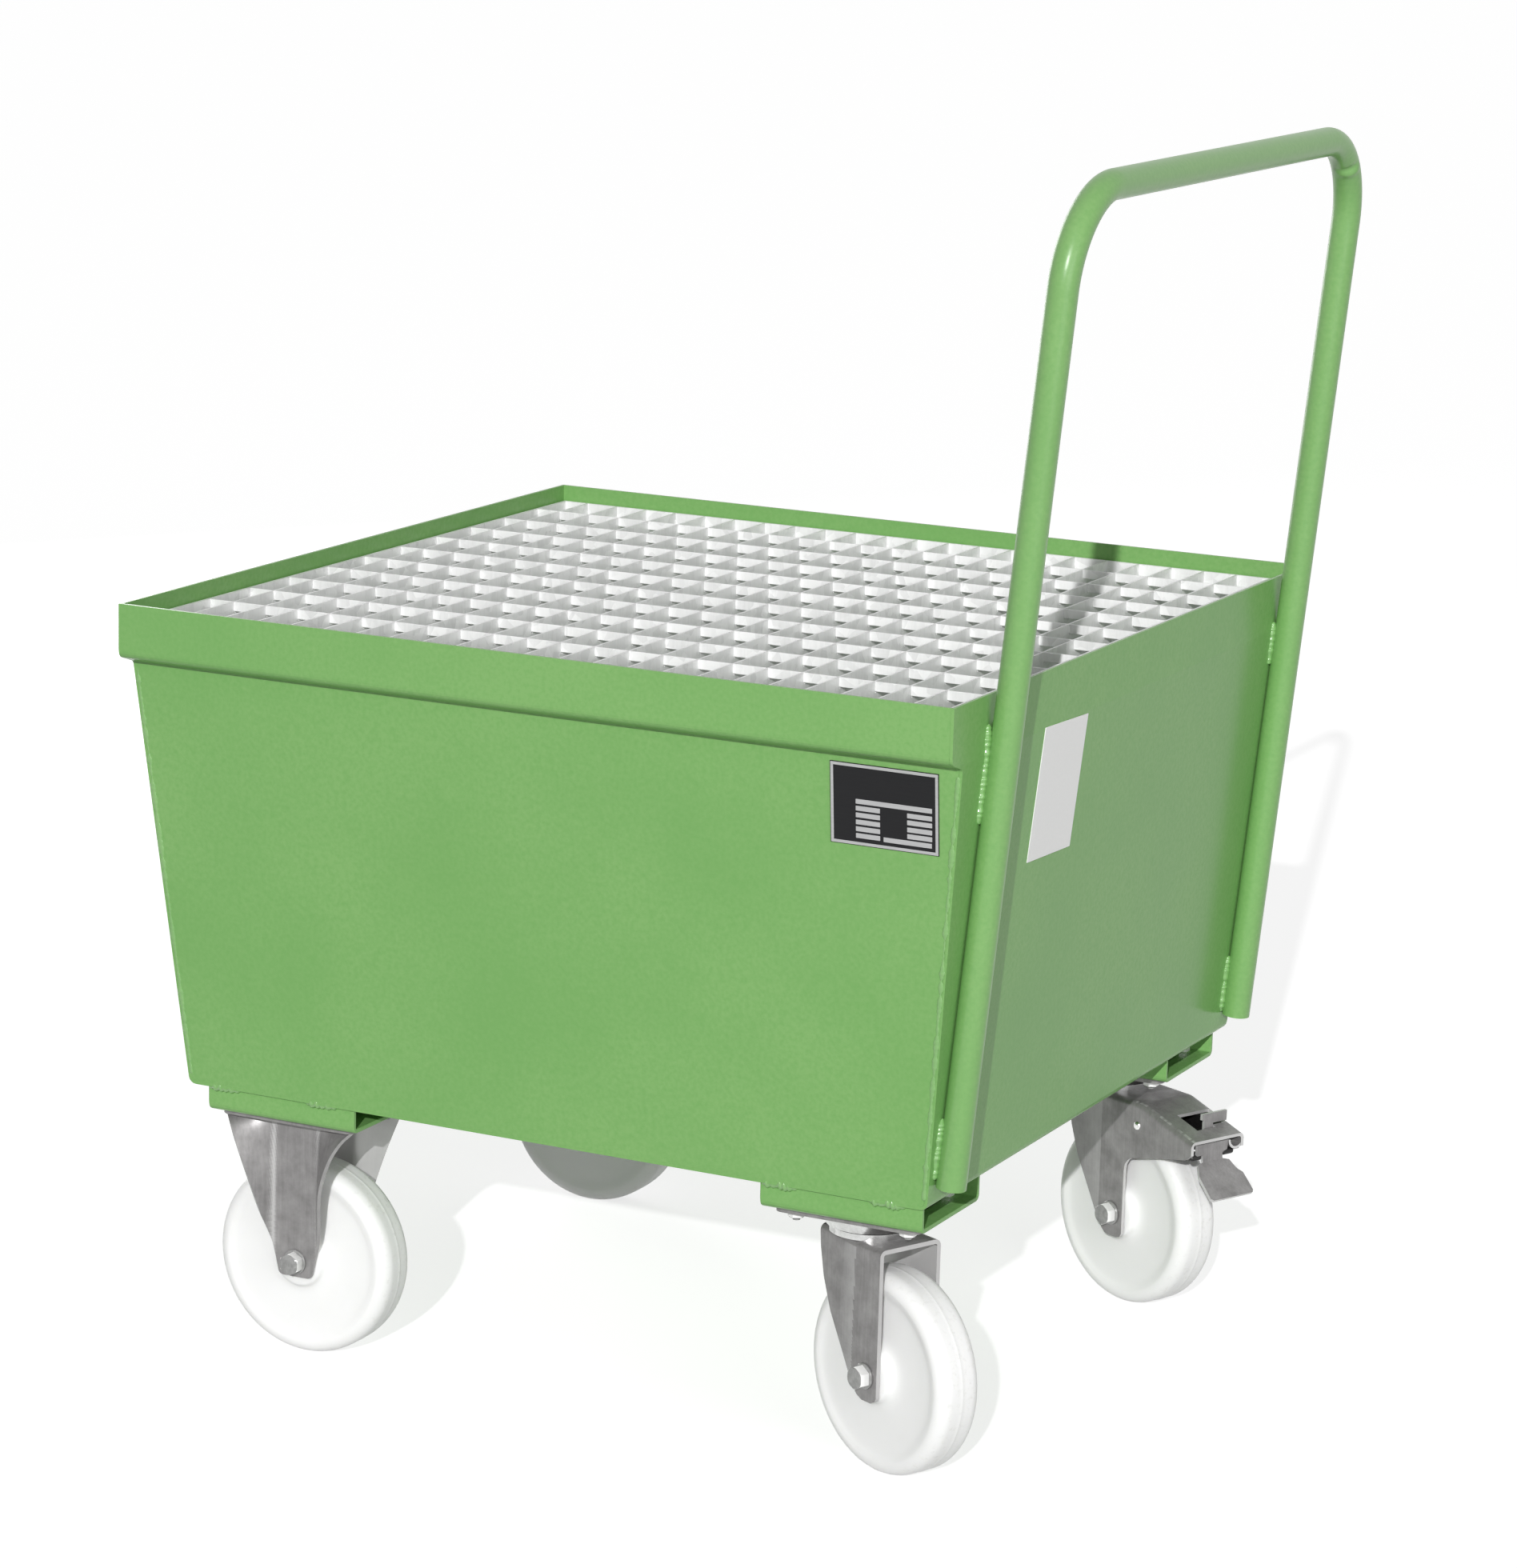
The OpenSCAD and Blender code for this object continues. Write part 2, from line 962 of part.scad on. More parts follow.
module axle_sleeve_fl() {
  at_fixed(-1)
    axle_sleeve();
}

module axle_sleeve_rl() {
  at_fixed(1)
    axle_sleeve();
}

module axle_sleeve_fr() {
  at_trail(-1)
    axle_sleeve();
}

module axle_sleeve_rr() {
  at_trail(1)
    axle_sleeve();
}

module wheel_fl() {
  at_fixed(-1)
    wheel();
}

module wheel_rl() {
  at_fixed(1)
    wheel();
}

module wheel_fr() {
  at_trail(-1)
    wheel();
}

module wheel_rr() {
  at_trail(1)
    wheel();
}

tub_wrap();
front_panel();
rear_panel();
bracket_fl();
bracket_fr();
bracket_rl();
bracket_rr();
push_handle();
data_plate();
document_card();
bolts_fl();
bolts_fr();
bolts_rl();
bolts_rr();
nuts_fl();
nuts_fr();
nuts_rl();
nuts_rr();
fixed_fork_fl();
fixed_fork_rl();
swivel_plate_fr();
swivel_plate_rr();
upper_race_fr();
upper_race_rr();
king_pin_fr();
king_pin_rr();
axle_bolt_fl();
axle_bolt_fr();
axle_bolt_rl();
axle_bolt_rr();
axle_nut_fl();
axle_nut_fr();
axle_nut_rl();
axle_nut_rr();
axle_sleeve_fl();
axle_sleeve_fr();
axle_sleeve_rl();
axle_sleeve_rr();
wheel_fl();
wheel_fr();
wheel_rl();
wheel_rr();
swivel_fork_fr();
brake_fork_rr();
lower_race_fr();
lower_race_rr();
balls_fr();
balls_rr();
pedal_pin();
shoe_pin();
brake_pedal();
brake_shoe();
grating_frame();
bearing_bars();
cross_bars();
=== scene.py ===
import json
import math
import bpy
import numpy as np
from mathutils import Matrix, Vector


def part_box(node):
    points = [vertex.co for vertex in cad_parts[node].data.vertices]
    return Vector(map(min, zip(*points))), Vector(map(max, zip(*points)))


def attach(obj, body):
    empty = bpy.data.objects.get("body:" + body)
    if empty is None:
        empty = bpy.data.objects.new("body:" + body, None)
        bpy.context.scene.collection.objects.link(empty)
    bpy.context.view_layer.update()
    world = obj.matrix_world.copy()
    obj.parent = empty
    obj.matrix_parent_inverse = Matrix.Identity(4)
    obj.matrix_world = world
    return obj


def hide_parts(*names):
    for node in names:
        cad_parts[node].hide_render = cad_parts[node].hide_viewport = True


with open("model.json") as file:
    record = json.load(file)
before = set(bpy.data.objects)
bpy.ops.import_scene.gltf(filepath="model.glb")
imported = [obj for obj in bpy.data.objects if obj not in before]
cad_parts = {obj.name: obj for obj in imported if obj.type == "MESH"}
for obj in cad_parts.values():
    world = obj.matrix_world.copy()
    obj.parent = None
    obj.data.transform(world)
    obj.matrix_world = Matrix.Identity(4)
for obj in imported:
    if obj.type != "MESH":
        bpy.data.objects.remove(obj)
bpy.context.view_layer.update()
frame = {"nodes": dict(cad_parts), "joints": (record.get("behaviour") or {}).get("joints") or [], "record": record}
nodes = frame["nodes"]
joints = {j["name"]: j for j in frame["joints"]}
corners = ("fl", "fr", "rl", "rr")
xAxis, yAxis, zAxis = np.eye(3)
print("stage 1: frame loaded,", len(nodes), "nodes")

# main sizes of the tub in millimetres, from the floor and from the tub's middle line
tub = dict(rimHalf=400, wallTop=646, floorZ=253, floorHalfX=364.5, floorHalfY=340,
           panelHalfY=378, panelTop=641.5)
panelLow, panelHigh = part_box("front_panel")
tubX = (panelLow.x + panelHigh.x) * 500  # the tub's middle line in the row frame
# how far the end walls and the panels lean from upright
wallLean = math.atan((tub["rimHalf"] - tub["floorHalfX"]) / (tub["wallTop"] - tub["floorZ"]))
panelLean = math.atan((tub["panelHalfY"] - tub["floorHalfY"]) / (tub["panelTop"] - tub["floorZ"]))
# square to the right wall, and up along it
wallOut = np.array([math.cos(wallLean), 0, -math.sin(wallLean)])
wallUp = np.array([math.sin(wallLean), 0, math.cos(wallLean)])


def wallHalf(z):  # half length of the tub at height z: the leaning walls, then the upright rim
    return np.interp(z, [tub["floorZ"], tub["wallTop"]], [tub["floorHalfX"], tub["rimHalf"]])


def panelHalf(z):  # half width of the tub below the rim step
    return np.interp(z, [tub["floorZ"], tub["panelTop"]], [tub["floorHalfY"], tub["panelHalfY"]])


# camera: the photograph's own view, found from the rim, the handle and the wheels; degrees and metres
shot = dict(azimuth=26.37, elevation=12.55, roll=1.58, distance=4.570, aimZ=0.392, right=0.02873, up=0.11499,
            focalPx=6210, longSidePx=1960, sensorMm=36, farthest=200.0)


def skyWay(turn, rise):  # unit vector to a place in the sky: degrees round from the front, and degrees up
    az, el = math.radians(turn), math.radians(rise)
    return Vector((math.sin(az) * math.cos(el), -math.cos(az) * math.cos(el), math.sin(el)))


def addObject(name, data):
    made = bpy.data.objects.new(name, data)
    bpy.context.scene.collection.objects.link(made)
    return made


def placeCamera():
    s = shot
    az, roll = math.radians(s["azimuth"]), math.radians(s["roll"])
    back = skyWay(s["azimuth"], s["elevation"])
    level = Vector((math.cos(az), math.sin(az), 0.0))
    tall = back.cross(level)
    right = level * math.cos(roll) + tall * math.sin(roll)
    up = tall * math.cos(roll) - level * math.sin(roll)
    data = bpy.data.cameras.new("photoCamera")
    data.sensor_width = s["sensorMm"]
    data.lens = s["focalPx"] * s["sensorMm"] / s["longSidePx"]
    data.clip_end = s["farthest"]
    camera = addObject("photoCamera", data)
    place = Vector((tubX / 1000, 0.0, s["aimZ"])) + back * s["distance"]
    place += right * s["right"] + up * s["up"]
    camera.matrix_world = Matrix.Translation(place) @ Matrix((right, up, back)).transposed().to_4x4()
    bpy.context.scene.camera = camera


placeCamera()
print("stage 2: camera placed")


# materials
def linear(code):  # sRGB hex to linear RGBA
    parts = [int(code[i:i + 2], 16) / 255 for i in (1, 3, 5)]
    return [p / 12.92 if p <= 0.04045 else ((p + 0.055) / 1.055) ** 2.4 for p in parts] + [1.0]


def feed(tree, node, inputs):  # a socket among the inputs is linked, a plain value is set
    for name, value in inputs.items():
        if isinstance(value, bpy.types.NodeSocket):
            tree.links.new(value, node.inputs[name])
        else:
            node.inputs[name].default_value = value


def addNode(tree, kind, inputs=None, **settings):
    made = tree.nodes.new("ShaderNode" + kind)
    for name, value in settings.items():
        setattr(made, name, value)
    feed(tree, made, inputs or {})
    return made


def startMaterial(name):
    material = bpy.data.materials.new(name)
    material.use_nodes = True
    tree = material.node_tree
    return material, tree, tree.nodes["Principled BSDF"], addNode(tree, "TexCoord").outputs["Object"]


def perMetre(mm):  # noise scale for a pattern of this size in millimetres
    return 1000.0 / mm


# powder coat on sheet steel: even colour with faint clouding, and orange peel that softens the gloss,
# drawn a little coarser than life so that it shows
powderCoat = dict(main="#78AB63", pale="#83B26C", cloudMm=160, speckMm=4, peelMm=4, peel=0.10,
                  roughLow=0.20, roughHigh=0.27, ior=1.22)
# the same coat on the handle's tube: a shade deeper, with a stronger shine
tubeCoat = dict(powderCoat, main="#76A761", pale="#80AE69", roughLow=0.27, roughHigh=0.34, ior=1.45)
# the same coat where it pools on weld beads: thicker, smoother and glossier
pooledCoat = dict(powderCoat, peel=0.03, roughLow=0.10, roughHigh=0.16, ior=1.6)


def powderCoatGreen(name, s):
    material, tree, surface, place = startMaterial(name)
    cloud = addNode(tree, "TexNoise", {"Vector": place, "Scale": perMetre(s["cloudMm"]), "Detail": 3.0})
    speck = addNode(tree, "TexNoise", {"Vector": place, "Scale": perMetre(s["speckMm"]), "Detail": 2.0})
    blend = addNode(tree, "Math", {0: cloud.outputs["Fac"], 1: speck.outputs["Fac"]}, operation="MULTIPLY")
    ramp = addNode(tree, "MapRange", {"Value": blend.outputs[0], "From Min": 0.12, "From Max": 0.40})
    colour = addNode(tree, "Mix", {"Factor": ramp.outputs[0], 6: linear(s["main"]), 7: linear(s["pale"])},
                     data_type="RGBA")
    gloss = addNode(tree, "MapRange", {"Value": cloud.outputs["Fac"], "From Min": 0.3, "From Max": 0.7,
                                       "To Min": s["roughLow"], "To Max": s["roughHigh"]})
    peel = addNode(tree, "TexNoise", {"Vector": place, "Scale": perMetre(s["peelMm"]), "Detail": 1.0})
    bump = addNode(tree, "Bump", {"Height": peel.outputs["Fac"], "Strength": s["peel"], "Distance": 0.0006})
    feed(tree, surface, {"Base Color": colour.outputs[2], "Roughness": gloss.outputs[0],
                         "Normal": bump.outputs[0], "IOR": s["ior"]})
    return material


# hot-dip galvanising: pale zinc that scatters light, with spangle flakes and runs down the bars
galvanise = dict(main="#FAFAFA", dull="#E6E6E6", spangleMm=12, runMm=3.0, runStretch=0.12, metallic=0.10,
                 roughLow=0.40, roughHigh=0.60)


def hotDipZinc():
    s = galvanise
    material, tree, surface, place = startMaterial("hotDipZinc")
    flake = addNode(tree, "TexVoronoi", {"Vector": place, "Scale": perMetre(s["spangleMm"])})
    shade = addNode(tree, "SeparateColor", {"Color": flake.outputs["Color"]})
    tall = addNode(tree, "Mapping", {"Vector": place, "Scale": (1.0, 1.0, s["runStretch"])})
    runs = addNode(tree, "TexNoise", {"Vector": tall.outputs[0], "Scale": perMetre(s["runMm"]),
                                      "Detail": 4.0})
    both = addNode(tree, "Math", {0: shade.outputs["Red"], 1: runs.outputs["Fac"]}, operation="ADD")
    ramp = addNode(tree, "MapRange", {"Value": both.outputs[0], "From Min": 0.3, "From Max": 1.4})
    colour = addNode(tree, "Mix", {"Factor": ramp.outputs[0], 6: linear(s["dull"]), 7: linear(s["main"])},
                     data_type="RGBA")
    gloss = addNode(tree, "MapRange", {"Value": shade.outputs["Green"], "To Min": s["roughLow"],
                                       "To Max": s["roughHigh"]})
    bump = addNode(tree, "Bump", {"Height": runs.outputs["Fac"], "Strength": 0.15, "Distance": 0.0005})
    feed(tree, surface, {"Base Color": colour.outputs[2], "Roughness": gloss.outputs[0],
                         "Normal": bump.outputs[0], "Metallic": s["metallic"]})
    return material


# zinc-plated pressed sheet: mid grey, cloudy stains, draw lines down the press, bare bright cut edges
zincSheet = dict(main="#989696", stain="#7C7A7A", edge="#CDCCCC", stainMm=20, drawMm=2.4, drawStretch=0.06,
                 metallic=0.35, roughLow=0.32, roughHigh=0.46)
# zinc-plated fasteners: the same plating, hardly stained, with a painted highlight on the flats
zincBolt = dict(main="#A2A2A1", stain="#868685", edge="#FBFBFA", stainMm=6, drawMm=1.2, drawStretch=0.3,
                metallic=0.15, roughLow=0.14, roughHigh=0.26)
# turned bright steel of races, balls, sleeves and the shoe's pin: a clear shine with fine turning marks
turnedSteel = dict(main="#E2E2E2", stain="#C4C4C3", edge="#F8F8F7", stainMm=9, drawMm=1.0, drawStretch=6.0,
                   metallic=1.0, roughLow=0.14, roughHigh=0.24)
# blackened steel of the pedal's pin, nose and stops and the shoe's lever: nearly black, a dull shine;
# on the lever and its cheek the near-black is also painted shade, filling the view through the roof's slot
blackAndShadeSteel = dict(main="#2A2929", stain="#1E1D1D", edge="#2E2D2D", stainMm=9, drawMm=1.0, drawStretch=6.0,
                  metallic=0.35, roughLow=0.24, roughHigh=0.36)
drawShare = 0.35  # how much the draw lines count beside the stains


def platedSteel(name, s):  # the piece's own face attribute brings out the edge colour: bare cut edges, and painted highlights and painted light on folds, fork insides and bolt flats
    material, tree, surface, place = startMaterial(name)
    stain = addNode(tree, "TexNoise", {"Vector": place, "Scale": perMetre(s["stainMm"]), "Detail": 5.0,
                                       "Roughness": 0.62})
    long = addNode(tree, "Mapping", {"Vector": place, "Scale": (1.0, 1.0, s["drawStretch"])})
    draw = addNode(tree, "TexNoise", {"Vector": long.outputs[0], "Scale": perMetre(s["drawMm"]),
                                      "Detail": 2.0})
    part = addNode(tree, "Math", {0: draw.outputs["Fac"], 1: drawShare}, operation="MULTIPLY")
    both = addNode(tree, "Math", {0: stain.outputs["Fac"], 1: part.outputs[0]}, operation="ADD")
    ramp = addNode(tree, "MapRange", {"Value": both.outputs[0], "From Min": 0.48, "From Max": 0.88})
    colour = addNode(tree, "Mix", {"Factor": ramp.outputs[0], 6: linear(s["stain"]), 7: linear(s["main"])},
                     data_type="RGBA")
    edgeAndSheen = addNode(tree, "Attribute", attribute_name="edgeAndSheen")
    edged = addNode(tree, "Mix", {"Factor": edgeAndSheen.outputs["Fac"], 6: colour.outputs[2], 7: linear(s["edge"])},
                    data_type="RGBA")
    gloss = addNode(tree, "MapRange", {"Value": stain.outputs["Fac"], "From Min": 0.3, "From Max": 0.7,
                                       "To Min": s["roughHigh"], "To Max": s["roughLow"]})
    bump = addNode(tree, "Bump", {"Height": draw.outputs["Fac"], "Strength": 0.06, "Distance": 0.0004})
    feed(tree, surface, {"Base Color": edged.outputs[2], "Roughness": gloss.outputs[0],
                         "Normal": bump.outputs[0], "Metallic": s["metallic"]})
    return material


# cast polyamide wheel: natural white, satin, slightly translucent, with rolling marks on the tread
polyamide = dict(main="#FBFBFA", shade="#F6F6F4", mark="#DAD9D6", cloudMm=30, markMm=6, rough=0.38,
                 deepMm=6, deep=0.6)


def polyamideWhite():  # the wheel's own attribute, tread, keeps the marks on the tread
    s = polyamide
    material, tree, surface, place = startMaterial("polyamideWhite")
    cloud = addNode(tree, "TexNoise", {"Vector": place, "Scale": perMetre(s["cloudMm"]), "Detail": 2.0})
    body = addNode(tree, "Mix", {"Factor": cloud.outputs["Fac"], 6: linear(s["shade"]), 7: linear(s["main"])},
                   data_type="RGBA")
    tread = addNode(tree, "Attribute", attribute_name="tread")
    scuffAndGlint = addNode(tree, "TexNoise", {"Vector": place, "Scale": perMetre(s["markMm"]), "Detail": 5.0,
                                       "Roughness": 0.7})
    wearAndSheen = addNode(tree, "MapRange", {"Value": scuffAndGlint.outputs["Fac"], "From Min": 0.54, "From Max": 0.74,
                                      "To Max": 0.6})
    amount = addNode(tree, "Math", {0: wearAndSheen.outputs[0], 1: tread.outputs["Fac"]}, operation="MULTIPLY")
    colour = addNode(tree, "Mix", {"Factor": amount.outputs[0], 6: body.outputs[2], 7: linear(s["mark"])},
                     data_type="RGBA")
    bump = addNode(tree, "Bump", {"Height": scuffAndGlint.outputs["Fac"], "Strength": 0.05, "Distance": 0.0005})
    feed(tree, surface, {"Base Color": colour.outputs[2], "Roughness": s["rough"], "Normal": bump.outputs[0],
                         "Subsurface Weight": s["deep"], "Subsurface Radius": (1.0, 1.0, 0.95),
                         "Subsurface Scale": s["deepMm"] / 1000})
    return material


# printed aluminium foil, bare: dark lacquer over pale metal, rolled grain drawn coarse enough to show
foilPlate = dict(dark="#18181A", darkPale="#202022", pale="#C2C2C3", paleDull="#ABABAC", grainMm=0.9,
                 stretch=0.06, rough=0.45, ior=1.28)


def foil(name, low, high):
    s = foilPlate
    material, tree, surface, place = startMaterial(name)
    long = addNode(tree, "Mapping", {"Vector": place, "Scale": (s["stretch"], 1.0, 1.0)})
    grain = addNode(tree, "TexNoise", {"Vector": long.outputs[0], "Scale": perMetre(s["grainMm"]),
                                       "Detail": 3.0})
    colour = addNode(tree, "Mix", {"Factor": grain.outputs["Fac"], 6: linear(low), 7: linear(high)},
                     data_type="RGBA")
    feed(tree, surface, {"Base Color": colour.outputs[2], "Roughness": s["rough"], "IOR": s["ior"]})
    return material


# laminated card, bare: pale grey paper fibre under a thin clear film
cardStock = dict(main="#F4F4F3", fibre="#ECECEB", fibreMm=2.2, rough=0.38)


def laminatedCard():
    s = cardStock
    material, tree, surface, place = startMaterial("laminatedCard")
    fibre = addNode(tree, "TexNoise", {"Vector": place, "Scale": perMetre(s["fibreMm"]), "Detail": 6.0})
    colour = addNode(tree, "Mix", {"Factor": fibre.outputs["Fac"], 6: linear(s["fibre"]),
                                   7: linear(s["main"])}, data_type="RGBA")
    feed(tree, surface, {"Base Color": colour.outputs[2], "Roughness": s["rough"]})
    return material


finish = dict(
    paint=powderCoatGreen("powderCoatGreen", powderCoat),
    galvanised=hotDipZinc(),
    polyamide=polyamideWhite(),
    card=laminatedCard(),
    zinc_plate=platedSteel("zincPlatedSheet", zincSheet),
    fastener=platedSteel("zincPlatedBolt", zincBolt),
    bright_steel=platedSteel("turnedSteel", turnedSteel),
    plate=foil("lacqueredFoil", foilPlate["dark"], foilPlate["darkPale"]))
palePrint = foil("bareFoil", foilPlate["paleDull"], foilPlate["pale"])
pooledPaint = powderCoatGreen("powderCoatPooled", pooledCoat)
tubePaint = powderCoatGreen("powderCoatTube", tubeCoat)
blackPinAndShade = platedSteel("blackenedSteelAndShade", blackAndShadeSteel)
for part in frame["record"]["subparts"]:
    skin = nodes[part["node"]].data.materials
    skin.clear()
    skin.append(finish[part["material_slot"]])

# painted sheet edges are rounded by the coat: joined corners, then a small bevel, on the CAD's own meshes
softEdge = dict(mergeMm=0.02, widthMm=0.9, segments=2, angle=40,
                nodes=["tub_wrap", "front_panel", "rear_panel"] + ["bracket_" + name for name in corners])
for name in softEdge["nodes"]:
    join = nodes[name].modifiers.new("joinCorners", "WELD")
    join.merge_threshold = softEdge["mergeMm"] / 1000
    edge = nodes[name].modifiers.new("softEdge", "BEVEL")
    edge.width = softEdge["widthMm"] / 1000
    edge.segments = softEdge["segments"]
    edge.limit_method = "ANGLE"
    edge.angle_limit = math.radians(softEdge["angle"])
    edge.harden_normals = True
print("stage 3: finishes on the frame")


# surfaces: every piece is a grid of points in millimetres, worked out in numpy and closed into one skin
def outward(verts, faces):  # the signed volume tells which way the skin faces
    corner = np.array([f[:3] for f in faces] + [[f[0], f[2], f[3]] for f in faces if len(f) == 4])
    a, b, c = (verts[corner[:, k]] - verts.mean(0) for k in range(3))
    inside = np.einsum("ij,ij->i", a, np.cross(b, c)).sum() < 0
    return [f[::-1] for f in faces] if inside else faces


def closedGrid(points, wrapRows=False):  # rows of rings: the rows join up, or both ends are drawn to a pole
    rows, cols = points.shape[:2]
    verts = points.reshape(-1, 3)
    i, j = np.meshgrid(np.arange(rows if wrapRows else rows - 1), np.arange(cols), indexing="ij")
    i2, j2 = (i + 1) % rows, (j + 1) % cols
    faces = np.stack([i * cols + j, i * cols + j2, i2 * cols + j2, i2 * cols + j], -1).reshape(-1, 4).tolist()
    if not wrapRows:
        ring = np.arange(cols)
        turn = np.roll(ring, -1)
        last = (rows - 1) * cols
        verts = np.concatenate([verts, [points[0].mean(0), points[-1].mean(0)]])
        faces += np.stack([turn, ring, np.full(cols, rows * cols)], -1).tolist()
        faces += np.stack([ring + last, turn + last, np.full(cols, rows * cols + 1)], -1).tolist()
    return verts, outward(verts, faces), None


def pressedSheet(middle, thick, keep=None, edge=1.0, wearAndSheen=None, paintedInnerLight=0.0):
    # two skins, half the thickness to each side of the middle grid, and a cut wall along the edges;
    # the first skin is the inner one and may be brighter: painted light on the inside of the legs
    across = np.cross(np.gradient(middle, axis=0), np.gradient(middle, axis=1))
    across /= np.linalg.norm(across, axis=-1, keepdims=True) + 1e-12
    rows, cols = middle.shape[:2]
    count = rows * cols
    index = np.arange(count).reshape(rows, cols)
    keep = np.ones((rows - 1, cols - 1), bool) if keep is None else keep
    skin = np.stack([index[:-1, :-1], index[:-1, 1:], index[1:, 1:], index[1:, :-1]], -1)[keep]
    room = np.pad(keep, 1)
    walls = []
    for start, end, before, after in (
            (index[:-1], index[1:], room[1:-1, :-1], room[1:-1, 1:]),
            (index[:, 1:], index[:, :-1], room[:-1, 1:-1], room[1:, 1:-1])):
        for a, b, rim in ((end, start, before & ~after), (start, end, after & ~before)):
            walls.append(np.stack([a[rim], b[rim], b[rim] + count, a[rim] + count], -1))
    walls = np.concatenate(walls)
    used, faces = np.unique(np.concatenate([skin, skin[:, ::-1] + count, walls]), return_inverse=True)
    verts = np.concatenate([middle + across * thick / 2, middle - across * thick / 2]).reshape(-1, 3)[used]
    paintedLight = np.zeros(len(skin)) if wearAndSheen is None else wearAndSheen[keep]
    bright = np.broadcast_to(paintedInnerLight, keep.shape)[keep]
    edgeAndSheen = np.concatenate([np.maximum(paintedLight, bright), paintedLight, np.full(len(walls), edge)])
    return verts, outward(verts, faces.reshape(-1, 4).tolist()), edgeAndSheen


def putPiece(name, parts, body, slot, sharp=35, material=None, standsFor=()):  # the parts become one mesh
    verts, faces, edgeAndSheenParts, count = [], [], [], 0
    for v, f, edgeAndSheen in parts:
        verts.append(v)
        faces += [[k + count for k in face] for face in f]
        edgeAndSheenParts.append(np.zeros(len(f)) if edgeAndSheen is None else edgeAndSheen)
        count += len(v)
    mesh = bpy.data.meshes.new(name)
    mesh.from_pydata((np.concatenate(verts) / 1000).tolist(), [], faces)
    mesh.polygons.foreach_set("use_smooth", np.ones(len(faces), bool))
    mesh.attributes.new("edgeAndSheen", "FLOAT", "FACE").data.foreach_set("value", np.concatenate(edgeAndSheenParts))
    mesh.set_sharp_from_angle(angle=math.radians(sharp))
    mesh.materials.append(material or finish[slot])
    piece = addObject(name, mesh)
    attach(piece, body)
    if standsFor:
        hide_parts(*standsFor)
    return piece


def boxMm(node):  # a CAD node's low and high corner in millimetres
    return (np.array(corner) * 1000 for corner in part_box(node))


def spot(base, a, b, c):  # base is an origin and three axes; a, b and c are distances along them
    origin, first, second, third = base
    a, b, c = np.broadcast_arrays(np.asarray(a, float), b, c)
    return origin + a[..., None] * first + b[..., None] * second + c[..., None] * third


def curve(points, steps):  # Catmull-Rom curve through a few points
    p = np.asarray(points, float)
    p = np.concatenate([[2 * p[0] - p[1]], p, [2 * p[-1] - p[-2]]])
    t = np.linspace(0, 1, steps, endpoint=False)[None, :, None]
    a, b, c, d = (p[k:len(p) - 3 + k, None] for k in range(4))
    run = b + 0.5 * t * (c - a + t * (2 * a - 5 * b + 4 * c - d + t * (3 * (b - c) + d - a)))
    return np.concatenate([run.reshape(-1, p.shape[1]), p[-2:-1]])


def roundAngles(count):  # once round, in equal steps
    return np.linspace(0, 2 * np.pi, count, endpoint=False)


def turned(base, radius, along, count):  # a profile of radius and distance carried round the second axis
    angle = roundAngles(count)
    radius, along = np.asarray(radius, float)[:, None], np.asarray(along, float)[:, None]
    return spot(base, radius * np.cos(angle), along, radius * np.sin(angle))


def slab(base, size, place, corner, low, high, ease):  # rounded rectangle between two levels, edges eased
    angle = roundAngles(48)
    levels = np.array([[low, ease], [low + ease, 0], [high - ease, 0], [high, ease]])
    shrink = levels[:, 1:]
    reach = [np.sign(np.round(f(angle), 9)) * (half - corner) + f(angle) * (corner - shrink)
             for f, half in ((np.cos, size[0] / 2), (np.sin, size[1] / 2))]
    return closedGrid(spot(base, place[0] + reach[0], levels[:, :1], place[1] + reach[1]))


def hexRing(flats, angle):  # distance from the middle to the side of a hexagon at each angle
    return flats / 2 / np.cos((angle + np.pi / 6) % (np.pi / 3) - np.pi / 6)


# heads and nuts: grid levels in millimetres below the top, where a 30 degree cone cuts the hexagon's corners;
# the shares are of the width across flats
hexagon = dict(foot=0.3, footShare=0.985, levels=(2.2, 1.6, 1.1, 0.6, 0.2, 0), crown=0.05, plainRows=4,
               coneShare=0.47, coneSlope=1.73, topShare=0.22)


def hexBody(base, flats, low, high, bore=0.0, count=72):  # the lesser of hexagon and cone at each level
    s = hexagon
    angle = roundAngles(count)
    way = 1 if high > low else -1
    tall = abs(high - low)
    level = np.concatenate([[0, s["foot"]], tall - np.array(s["levels"]), [tall + s["crown"]]])
    cone = s["coneShare"] * flats + (tall - level) * s["coneSlope"]
    radius = np.minimum(hexRing(flats, angle)[None], cone[:, None])
    radius[0] *= s["footShare"]
    radius[-1] = bore or flats * s["topShare"]
    points = spot(base, radius * np.cos(angle), (low + way * level)[:, None], radius * np.sin(angle))
    if bore:
        points = np.concatenate([points, spot(base, bore * np.cos(angle), low, bore * np.sin(angle))[None]])
    verts, faces = closedGrid(points, wrapRows=bool(bore))[:2]
    paintedLight = np.repeat(np.arange(len(level) - 1) < len(level) - s["plainRows"], count)  # painted highlight on the flats
    return verts, faces, np.concatenate([paintedLight, np.zeros(2 * count)])


# screw threads: depth as a share of the pitch, the chamfer of the last thread in millimetres
thread = dict(deep=0.55, stepsPerPitch=6, chamferFrom=0.2, chamferLong=1.2, chamferDeep=0.8)


